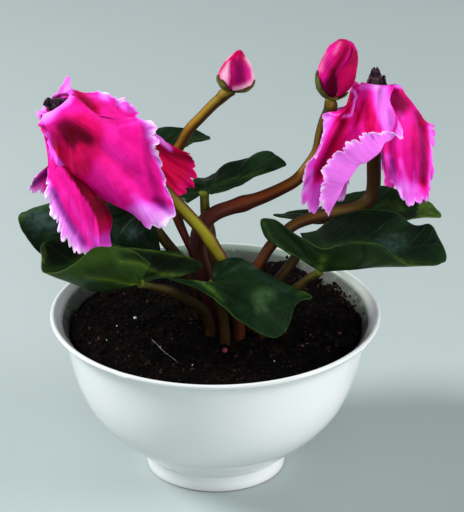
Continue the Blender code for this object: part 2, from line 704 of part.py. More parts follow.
def petal_rows(bloom, petal):
    """Rows from inside the cup's wall, over the collar and down the petal to its fringe."""
    first, last, tier, ribs = petal
    mouth = Vector(bloom["mouth"])
    frame = frame_of(bloom["axis"])
    drop = UNDER_TIER * tier
    fan = []
    for k, rib in enumerate(ribs):
        degrees = first + (last - first) * k / (len(ribs) - 1)
        root = ring_point(mouth, frame, CUP_RADIUS, -ROOT_DEPTH - drop, degrees)
        lip = ring_point(mouth, frame, CUP_RADIUS + LIP_REACH + 0.3 * tier, -drop, degrees)
        collar = ring_point(mouth, frame, COLLAR_RADIUS, COLLAR_HEIGHT - drop, degrees)
        fan.append([root, lip, collar] + [Vector(p) for p in rib])
    return with_teeth(grid_from_ribs(fan, 2, 1), FRINGE_DEPTH)


def cup_rows(mouth, frame, radius, depth, rim, sides):
    """Rows of a round-bottomed cup about the axis, from the middle of its floor to its rim."""
    rows = [[mouth - frame[0] * depth]]
    for r, h in ((0.55 * radius, -depth), (0.9 * radius, -0.85 * depth), (radius, -0.5 * depth)):
        rows.append([ring_point(mouth, frame, r, h, 360 * s / sides) for s in range(sides)])
    rows.append([ring_point(mouth, frame, radius, rim, 360 * s / sides) for s in range(sides)])
    return rows


def build_corolla(name, bloom, finish):
    """Five petals round a short cup, fused into one body."""
    mouth = Vector(bloom["mouth"])
    frame = frame_of(bloom["axis"])
    rows = cup_rows(mouth, frame, CUP_RADIUS, CUP_DEPTH, -0.6, 16)
    thing = add_object(name, thicken(rows, CUP_THICKNESS, name, True), finish)
    blades = []
    for petal in bloom["petals"]:
        blade = thicken(petal_rows(bloom, petal), PETAL_THICKNESS, "petal")
        blades.append(add_object("petal", blade, finish))
    join_by("UNION", thing, blades, "MANIFOLD")
    keep_largest(thing.data)
    return thing


def build_calyx(name, bloom, finish):
    """A green cup round the foot of the corolla, closed at its floor, with five pointed sepals."""
    frame = frame_of(bloom["axis"])
    foot = Vector(bloom["mouth"]) - frame[0] * CALYX_DROP
    sides = 15
    rows = cup_rows(foot, frame, CALYX_RADIUS, CALYX_DEPTH, 0, sides)
    tips = []
    for s in range(sides):
        height = CALYX_NOTCH if s % 3 else CALYX_TIP
        tips.append(ring_point(foot, frame, CALYX_RADIUS + 0.1, height, 360 * s / sides))
    return add_object(name, thicken(rows + [tips], SEPAL_THICKNESS, name, True), finish)


def build_withered(name, bloom, height, finish):
    """The shrivelled cone of stamens and style that stands in the open mouth."""
    mouth = Vector(bloom["mouth"])
    frame = frame_of(bloom["axis"])
    sides = 10
    floor = -CUP_DEPTH + CUP_THICKNESS / 2 + SEAT_GAP
    sections = [(1.9, floor), (2.7, floor + 2), (2.9, -1), (2.6, 0.8)]
    sections += [(1.7, height * 0.5), (1.0, height)]
    rings = []
    for radius, rise in sections:
        ring = []
        for s in range(sides):
            ridge = 1.16 if s % 2 else 0.9
            ring.append(ring_point(mouth, frame, radius * ridge, rise, 360 * s / sides))
        rings.append(ring)
    low = mouth + frame[0] * floor
    high = mouth + frame[0] * (height - 0.5)
    return add_object(name, tube(low, rings, high, name), finish)


def bud_radius(width, t):
    """The furled petals' radius at a share t of the bud's length."""
    return width * math.sin(math.pi * t ** 0.72) ** 0.8


def build_bud(name, foot, tip, width, finish):
    """Furled petals: a pointed spindle whose overlapping edges wind up it in steps."""
    foot, tip = Vector(foot), Vector(tip)
    length = (tip - foot).length
    frame = frame_of(tip - foot)
    sides = 20
    levels = 7
    rings = []
    for k in range(1, levels + 1):
        t = k / (levels + 1)
        ring = []
        for s in range(sides):
            turn = (s / sides * 5 + 1.1 * t) % 1.0
            radius = bud_radius(width, t) * (0.9 + 0.14 * turn)
            ring.append(ring_point(foot, frame, radius, length * t, 360 * s / sides))
        rings.append(ring)
    return add_object(name, tube(foot, rings, tip, name), finish)


def build_bud_sepals(name, foot, tip, width, finish):
    """Five pointed sepals in one thin cup that follows the bud's own outline just clear of it."""
    foot, tip = Vector(foot), Vector(tip)
    length = (tip - foot).length
    frame = frame_of(tip - foot)
    sides = 20
    levels = 4
    rows = [[foot - frame[0] * BUD_CLEARANCE]]
    for k in range(1, levels + 1):
        row = []
        for s in range(sides):
            degrees = 360 * s / sides
            point = (1 + math.cos(math.radians(5 * degrees))) / 2
            t = (0.22 + 0.2 * point) * k / levels
            rise = 0.1 * length
            swell = 1.04 * (bud_radius(width, t + 0.05) - bud_radius(width, max(t - 0.05, 0)))
            slope = math.hypot(rise, swell)
            radius = 1.04 * bud_radius(width, t) + BUD_CLEARANCE * rise / slope
            height = length * t - BUD_CLEARANCE * swell / slope
            row.append(ring_point(foot, frame, radius, height, degrees))
        rows.append(row)
    return add_object(name, thicken(rows, SEPAL_THICKNESS, name, True), finish)


def build_plant():
    green = material("leaf_green", LEAF_GREEN, 0.35)
    light = material("leaf_light_green", LEAF_LIGHT, 0.4)
    olive = material("petiole_olive", PETIOLE_OLIVE, 0.45)
    brown = material("stalk_brown", STALK_BROWN, 0.4)
    yellow = material("stalk_yellow", STALK_YELLOW, 0.4)
    pink = material("petal_pink", PETAL_PINK, 0.5)
    sepal = material("sepal_green", SEPAL_GREEN, 0.5)
    dry = material("withered", WITHERED, 0.8)
    for name, (joint, ribs) in LEAVES.items():
        build_leaf(name, joint, ribs, light if name == "leaf_front_left" else green)
        build_petiole(name, olive)
    seats = stalk_seats()
    for name, (radius, route) in STALKS.items():
        top, axis = seats[name]
        finish = yellow if name == "stalk_left_bloom" else brown
        build_stem(name, [top] + route, (radius, radius), STALK_SIDES, axis, finish)
    for side, bloom, height in (
            ("left", LEFT_BLOOM, CENTRE_HEIGHT_LEFT), ("right", RIGHT_BLOOM, CENTRE_HEIGHT_RIGHT)):
        build_corolla("corolla_" + side, bloom, pink)
        build_calyx("calyx_" + side, bloom, sepal)
        build_withered("withered_centre_" + side, bloom, height, dry)
    for side, (foot, tip, width) in BUDS.items():
        build_bud("bud_petals_" + side, foot, tip, width, pink)
        build_bud_sepals("bud_sepals_" + side, foot, tip, width, sepal)


clear_scene()
holder = bpy.data.objects.new("holder", None)
bpy.context.collection.objects.link(holder)
holder.location = (HOLDER_X * MM, 0, 0)
build_bowl()
build_soil()
build_corm()
build_plant()
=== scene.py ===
import math

import bmesh
import bpy
import numpy as np
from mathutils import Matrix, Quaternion, Vector, noise


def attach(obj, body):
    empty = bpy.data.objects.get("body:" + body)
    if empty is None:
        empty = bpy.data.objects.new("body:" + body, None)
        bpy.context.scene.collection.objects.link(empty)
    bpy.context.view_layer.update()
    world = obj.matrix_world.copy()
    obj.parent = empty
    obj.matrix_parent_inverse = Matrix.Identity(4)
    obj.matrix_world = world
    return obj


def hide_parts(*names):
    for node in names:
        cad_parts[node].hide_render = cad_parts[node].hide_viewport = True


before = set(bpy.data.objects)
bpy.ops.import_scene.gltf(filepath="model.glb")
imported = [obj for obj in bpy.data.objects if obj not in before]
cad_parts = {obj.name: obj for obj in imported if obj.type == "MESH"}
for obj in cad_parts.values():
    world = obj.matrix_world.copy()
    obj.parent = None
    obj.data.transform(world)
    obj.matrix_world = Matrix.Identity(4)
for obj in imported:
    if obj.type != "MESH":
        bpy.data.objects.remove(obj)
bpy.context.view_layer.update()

# Lengths in the tables are millimetres from the bowl's own axis, at the height of its foot
MM = 0.001
BOWL_X = -5.2
SOIL_LEVEL = 56.0
SOIL_RADIUS = 53.2
LIP_RADIUS = 59.6
CUP_RADIUS = 4.4
CUP_DEPTH = 7.0
COLLAR_RADIUS = 8.3
COLLAR_HEIGHT = 1.4
ROOT_DEPTH = 3.0
LIP_REACH = 1.0
UNDER_TIER = 1.3
LOBE_STEP = 4.1
TOOTH_STEP = 1.15
CALYX_DROP = 4.7
CALYX_RADIUS = 5.45
BLOOM_GAP = 1.45
BUD_GAP = 1.2
VEIN_LANES = 7
RIB_STEPS = 11
BLADE_ROWS = 30
STEM_END = 49.6

# The camera: its place in table millimetres, how far it looks down, and its focal length in
# dots of its 464 by 512 picture, where painted marks and folds have their places too
EYE = (6.03, -908.5, 500.8)
LOOK_DOWN = math.radians(24.69)
FOCAL_DOTS = 2776.0
MIDDLE = (232.0, 256.0)

# Points of a mesh that are nearer than this, in metres, become one
SAME_PLACE = 1e-6

# Each leaf: the joint that its petiole carries, then ribs round it, each by two places: middle, edge
LEAVES = {
    "leaf_front_left": ((-26.5, -26, 84.5), [
        -25, -28, 89, -22.3, -29, 93.9, -28, -30, 91, -29, -32, 99.7, -32, -32, 92, -35, -34, 102,
        -36, -33, 91, -42, -34, 102, -40, -32, 88, -48, -33, 96, -42, -30, 84, -54, -30, 91.2,
        -40.9, -27, 82.8, -60.2, -24, 88.4, -41.9, -23, 82, -61, -19, 91, -43, -19, 84, -61, -15, 95,
        -41, -16, 85, -55, -11, 96, -38, -15, 86, -46, -8, 94, -34, -15, 86, -37, -7, 91,
        -28, -17, 86, -26, -10, 90, -23, -19, 87, -16, -13, 91, -20, -21, 87, -9, -16, 90,
        -18, -23, 87, -4, -19, 88, -20, -25, 86, -12, -23, 86]),
    "leaf_back_left": ((-25.5, -3, 104), [
        -24, -3, 101, -22, -4, 98, -23, -5, 97, -20, -5, 91, -25, -6, 94, -20, -6, 86,
        -29, -7, 93, -26, -6, 80, -33, -7, 92, -37, -5, 78, -38, -6, 92, -48, -3, 78,
        -43, -5, 93, -60.6, -1, 82.8, -47, -4, 95, -66.3, 1, 88.4, -48, -3, 98, -70.1, 3, 94,
        -48, -1, 101, -70, 5, 97.4, -45, 1, 102, -61, 8, 99.6, -40, 2, 103, -50, 10, 103,
        -34, 2, 104, -40, 11, 105, -29, 0, 104, -30, 6, 106]),
    "leaf_front_middle": ((-1, -24, 84), [
        -8, -27, 86, -17, -29, 88, -5, -28, 84, -8, -33, 87, -1, -29, 82, 1, -35, 82, 3, -30, 79, 9, -37, 75,
        8, -31, 78, 16, -39, 71, 10, -31, 79, 22, -38, 69, 12, -30, 81, 26, -34, 72, 12, -28, 82, 29, -29, 78,
        11, -26, 83, 34, -25, 79, 10, -24, 84, 25, -22, 82, 8, -22, 86, 17, -19, 86, 5, -22, 87, 11, -18, 90,
        2, -22, 87, 6, -18, 91, -1, -23, 87, 0, -21, 90]),
    "leaf_right": ((37.5, -18, 85.5), [
        32, -21, 90.8, 26, -24, 95, 27, -23, 95, 17.7, -26, 102, 27, -24, 98, 16.1, -27, 109.3,
        29.5, -23.5, 97.5, 21.3, -26.5, 108.6, 32, -23, 96, 29, -26, 103, 37, -21, 91, 37, -24, 97,
        42, -22, 91, 45, -26, 99, 47, -23, 91, 53, -27, 101, 51, -22, 90, 59, -26, 99,
        54, -20, 88, 64, -23, 93, 57, -17, 86.8, 70, -18, 88, 58, -14, 86.4, 79.3, -11, 85,
        58, -11, 87, 82.6, -7, 85.4, 57, -9, 89, 80.9, -2, 90, 54, -7, 91, 77.6, 2, 94.6,
        55.5, -6, 91, 71.5, 4, 93.6, 51, -5, 91, 65, 6, 97, 46, -4, 91, 54, 7, 98.4, 41, -6, 91, 45, 5, 97,
        38, -9, 90, 37.3, 1, 92.7, 35, -12, 88, 30.3, -4, 93.6]),
    "leaf_top": ((-4, 6, 106), [
        -7, 4, 104.6, -10.1, 3, 102.9, -8, 7, 105, -13, 8, 104, -6, 10, 107, -8, 15, 106.6,
        -2, 12, 107, -3, 18, 106.6, 1, 13, 108, 4, 22, 110.2, 4, 13, 108, 11, 23, 111.4,
        7, 13, 108, 18.6, 23, 114.5, 8, 12, 108, 22.4, 19, 114.3, 8, 10, 108, 25.4, 14, 112.4,
        6, 8, 108, 19, 10, 112.8, 3, 7, 107, 12, 7, 109.6, 0, 5, 107, 5, 5, 107, -2, 4, 106, -1, 3, 106]),
    "leaf_top_left": ((-20, 17, 117.5), [
        -22, 16, 117, -24, 14, 116, -22, 18, 118, -26, 18, 118, -21, 20, 120, -23, 25, 121.8,
        -17, 21, 120, -14, 27, 121.9, -14, 21, 120, -6.7, 25, 121.8, -12, 19, 120.3, -2, 20, 120.8,
        -13, 17, 119.5, -5, 16, 121.7, -15, 15, 119, -11, 14, 119.5, -18, 15, 117, -16, 13, 117]),
    "leaf_back_right": ((41.5, 12, 90.5), [
        36, 14, 90, 27.8, 15, 90.6, 32, 17, 90, 20.9, 18, 90.8, 35, 20, 91, 25.8, 22, 90.2,
        40, 22, 91, 37, 26, 91, 44, 25, 91, 46, 31, 92, 49, 27, 91, 53, 34, 93.6, 54, 28, 91, 61, 35, 95.6,
        58, 28, 90, 69, 33, 94, 60, 26, 90, 78.3, 28, 91.8, 60, 23, 90, 82.4, 20, 89.8,
        59, 21, 89.6, 78, 17, 90.7, 57, 18, 89, 72, 14, 92, 52, 15, 89, 62, 11, 88, 47, 12, 90, 52, 9, 89]),
}

# Each stalk: its radii, then its route from just under what it carries to just over the soil
STALKS = {
    "stalk_small_bud": ([1.9, 1.9, 1.9, 1.6, 1.35, 1.4, 1.6], [
        3.9, 6, 143.6, 1.9, 6.5, 141.4, -0.6, 7, 138.9, -4.9, 8, 133.8, -9.1, 9, 128.7, -12, 10, 123,
        -15, 10.5, 117, -16.4, 10, 109, -15.5, 8.5, 101, -13.9, 7, 95, -10.9, 6, 88, -7.7, 5, 81, -5, 4, 74,
        -3, 2, 65, -1, -1, 58]),
    "stalk_big_bud": ([2.1, 2.1, 2.2, 2.6, 2.9, 2.4, 2.4], [
        41.2, 13, 135.4, 39.4, 15, 130, 38, 16, 124, 36.8, 16.5, 117, 33.7, 16, 111.6, 29.4, 14.5, 106.8,
        24, 12.5, 104.2, 17, 9, 102.3, 11, 6, 101.4, 5, 3, 100.7, 0.4, 0, 100.1, -4, -2.5, 97.4, -6, -4.5, 93,
        -6, -5, 88, -4, -6, 80, -2, -7, 69, 0, -7, 59]),
    "stalk_left_bloom": ([2.4, 2.4, 2.3, 2.2, 2.2], [
        -49.6, -9.4, 138.3, -45, -9, 136, -34, -8, 127, -23, -7, 117, -15.5, -7, 109, -8.9, -8, 102,
        -3.9, -9.5, 96.5, -0.1, -11, 91, 2.9, -12, 86, 5.3, -13, 78, 8, -13.5, 68, 8.5, -13.5, 59]),
    "stalk_right_bloom": ([2.5, 2.6, 2.4, 2, 2.2, 2.4], [
        57.2, 20, 123, 57.4, 20, 112, 57.5, 20, 102, 56.4, 19.5, 97.5, 53.5, 18.5, 95, 49.5, 17, 94,
        43.5, 14, 93.9, 37, 10.5, 94, 30.6, 7.5, 93.2, 26, 5, 91.2, 20.3, 2.5, 86.4, 16.6, 0.5, 81,
        14.3, -1, 76, 13.5, -3, 69, 12, -5, 59]),
}

# Each petiole's route from its leaf's joint down to just over the soil
PETIOLES = {
    "leaf_front_left": [-22, -23.5, 82, -16.6, -21, 79.4, -11.8, -18, 75.4, -6.9, -15, 71, -3.6, -13, 66.6,
        -1.8, -12, 60.8],
    "leaf_back_left": [-25, 1, 102, -23, 0, 97, -18, 0, 89, -14, 1, 83, -11, 2, 77, -9, 3, 70, -7, 4, 64,
        -6, 4, 59],
    "leaf_front_middle": [1, -21, 79, 2, -19, 73, 3, -18, 66, 3.5, -18, 60],
    "leaf_right": [32.7, -16, 81.4, 28.8, -14.5, 76.9, 25.4, -14, 73.5, 19.5, -13, 71, 16.5, -12, 62],
    "leaf_top": [-3.5, 5, 97.4, -2.2, 4, 91, -1.8, 3, 84, -1, 2.5, 75, 0.7, 2, 66, 3, 1.5, 59],
    "leaf_top_left": [-18.5, 15.5, 110, -15.2, 14, 99, -12.2, 12, 89, -8.2, 10, 79, -5, 8, 67, -2, 7, 59],
    "leaf_back_right": [38, 10, 88, 34.5, 8, 86, 31, 6, 83, 28, 4, 79, 24.5, 2, 75, 20.5, 0, 70, 17, -2, 60],
}

# Each bloom: its mouth, its axis, and its petals. A petal springs from an arc of the mouth, has a tier,
# and then ribs, each by three places: belly, fold, edge
LEFT_BLOOM = dict(mouth=(-54.5, -12, 147.5), axis=(-0.45, -0.25, 0.86), petals=[
    (-150, 0, 0, [
        -59.6, -16, 139, -57.9, -17, 135, -57.3, -16, 130, -55, -20, 137, -53, -20, 129, -52, -18, 123,
        -49, -23, 135, -46, -23, 126, -42, -18, 115, -44, -25, 136, -37, -23, 122, -30, -17, 108,
        -42, -25, 138, -31, -22, 120, -23, -16, 101, -40, -25, 140, -28, -21, 121, -18, -15, 102,
        -38, -24, 141, -25, -20, 124, -14, -13, 106, -37, -23, 142, -25, -20, 129, -17, -16, 118,
        -38, -21, 143, -27, -18, 134, -20, -16, 131, -40, -18, 144, -30, -15, 138, -22, -12, 139,
        -42, -15, 144, -35, -12, 141, -30, -8, 140]),
    (-190, -140, 1, [
        -59.9, -12, 138, -57.4, -14, 128, -57.5, -15, 123, -59, -12, 136, -55.8, -16, 123, -59.2, -16, 117,
        -57, -13, 135, -54, -18, 119, -58.4, -17, 110, -56, -13, 134, -52, -20, 116, -55.2, -19, 103.6,
        -54, -13, 133, -50, -21, 114, -52.2, -21, 97.5, -53, -13, 133, -47, -22, 112, -46, -23, 95,
        -52, -13, 133, -44, -22, 111, -41, -24, 95, -50, -12, 133, -42, -16, 109.5, -39.8, -17, 95,
        -49, -11, 132, -42, -12, 111.7, -36.8, -12, 101.2, -48, -10, 132, -43, -9, 115.7, -39, -9, 108.2]),
    (168, 100, 0, [
        -60.3, -8, 139.2, -57.5, -6, 127, -58, -7, 119, -60, -7, 137.2, -56.8, -4, 123, -62.3, -5, 118,
        -60, -6, 137, -58.8, -2, 118.8, -66, -4, 111.2, -59, -4, 136, -58.8, 0, 117, -63, -1, 109,
        -57, -3, 136, -58, 2, 117, -58, 1, 107]),
    (122, 5, 0, [
        -56.5, -8.5, 147.8, -56, -7.5, 147.9, -55.4, -6, 148,
        -54.6, -7.5, 148.6, -53.6, -6, 149, -52.7, -4, 149.5,
        -53.3, -6, 150.4, -51.7, -4, 151.4, -51.1, -2, 152.7,
        -51.8, -5, 149.4, -50.8, -3, 149.7, -50.3, -1, 149.8, -51, -4, 148.5, -50, -1, 148, -50, 2, 147.3,
        -48, -5, 148, -46, 3, 145, -45, 9, 143, -47, -6, 147, -42, 2, 143, -40, 10, 142.6,
        -45, -7, 146, -39, 0, 142, -35, 8, 142, -44, -8, 145, -37, -2, 141, -30.5, 5, 140.2,
        -43, -9, 144, -36, -4, 140, -27, 1, 137.6, -42, -10, 143, -36, -6, 139, -29, -3, 136]),
    (60, 15, 1, [
        -45, -1, 142, -30, 4, 136, -20, 6, 127, -44, 0, 140, -28, 5, 133, -15, 6, 122,
        -44, 0, 139, -27, 5, 130, -9.6, 5, 121, -43, 0, 137, -26, 5, 127, -7.2, 4, 116.6,
        -43, 0, 136, -26, 4, 124, -7, 3, 111.4, -43, -1, 135, -28, 3, 122, -12, 2, 107,
        -44, -2, 134, -30, 1, 121, -19, 0, 109])])
RIGHT_BLOOM = dict(mouth=(57.5, 20, 141.5), axis=(0.05, 0.1, 0.99), petals=[
    (-138, -42, 0, [
        49, 13, 131, 43, 8, 117, 39, 6, 100, 49, 12, 131, 45.8, 4.5, 110, 41, 3, 98,
        49.8, 11.6, 131.4, 46.6, 3.8, 111, 37.6, 0.5, 104, 51, 11, 132, 48.2, 3, 112.5, 38, -4, 117,
        52, 10, 133, 51.7, 3, 118, 41, -4, 123, 54, 10, 133, 54.1, 4, 118.4, 47, -4, 128,
        56, 10, 134, 58.4, 5, 121.8, 52, -2, 131, 58, 11, 134, 60, 6, 125, 57, 0, 131,
        61, 13, 134, 63, 8, 126, 62, 4, 130, 62, 14, 136, 65, 10, 130, 67, 7, 126,
        62, 16, 138, 64, 13, 134, 65, 11, 132]),
    (-144, -196, 1, [
        50, 14, 136, 50, 12, 134, 50, 10, 133, 48.5, 14, 136, 48, 12, 131, 48, 10, 125,
        48, 15, 135, 45.5, 11, 127, 43, 9, 115, 48, 16, 134, 43, 10, 126, 38, 8, 106,
        47, 17, 134, 42, 10, 126, 37, 6, 98, 47, 17, 134, 41, 10, 126, 33, 6, 99,
        47, 18, 134, 40, 11, 127, 31.1, 7, 103.4, 48, 17, 134, 40.2, 10, 128.5, 32.8, 7, 114,
        48, 16, 135, 41.5, 9.5, 130.5, 37, 7, 123, 49, 16, 137, 43.5, 10, 133.5, 38.8, 8, 129.5,
        50, 15, 138.5, 44.5, 10, 135, 38.4, 8.5, 134.2, 51, 14, 139.5, 47, 10.5, 136.5, 43.5, 8.5, 134.8]),
    (-38, 38, 0, [
        63, 18, 139, 63, 15, 132, 60, 12, 119, 65, 18, 138, 65, 14, 129, 61.8, 11, 111,
        66, 18, 137, 67, 14, 127, 66.1, 11, 103.8, 67, 19, 137, 69, 14, 125, 69.4, 11, 99,
        68, 20, 136, 71, 15, 124, 74.4, 12, 98.8, 69, 21, 135, 73, 16, 124, 77.7, 14, 101.2,
        69, 23, 134, 75, 18, 123, 78.9, 17, 110, 69, 25, 133, 76, 21, 122, 79.1, 21, 117,
        69, 27, 133, 75.4, 25, 125, 79.3, 25, 124, 69, 29, 134, 73.7, 28, 128.2, 76, 29, 123]),
    (44, 94, 1, [
        67, 28, 135, 67.5, 36, 123, 68, 38, 104, 65, 30, 135, 65, 38, 122, 66.2, 38, 94,
        63, 31, 135, 63, 39, 120, 65, 37.5, 89.8, 60, 32, 135, 60.5, 39, 120, 63.2, 37.5, 93.5,
        58, 32, 136, 58, 38, 123, 61, 38, 106]),
    (100, 166, 0, [
        57, 32, 136, 53, 37, 124, 51, 36, 109, 54, 31, 136, 50, 35, 125, 49, 31, 97,
        52, 30, 136, 48.5, 32, 127, 45, 27, 93, 51, 28, 137, 47.9, 29, 129, 44, 26, 109,
        49, 26, 137, 47.3, 26, 131.5, 43, 23, 131.5])])

# What lies right of the fold in the left bloom's folded petal, in dots of the picture; that half is
# painted dark, partly its own crimson and partly painted shade where it turns away from the light
FOLD_BACK = [61, 163, 66, 171, 74, 182, 82, 194, 89, 204, 95, 215, 98, 228, 100, 250, 130, 250, 130, 160]
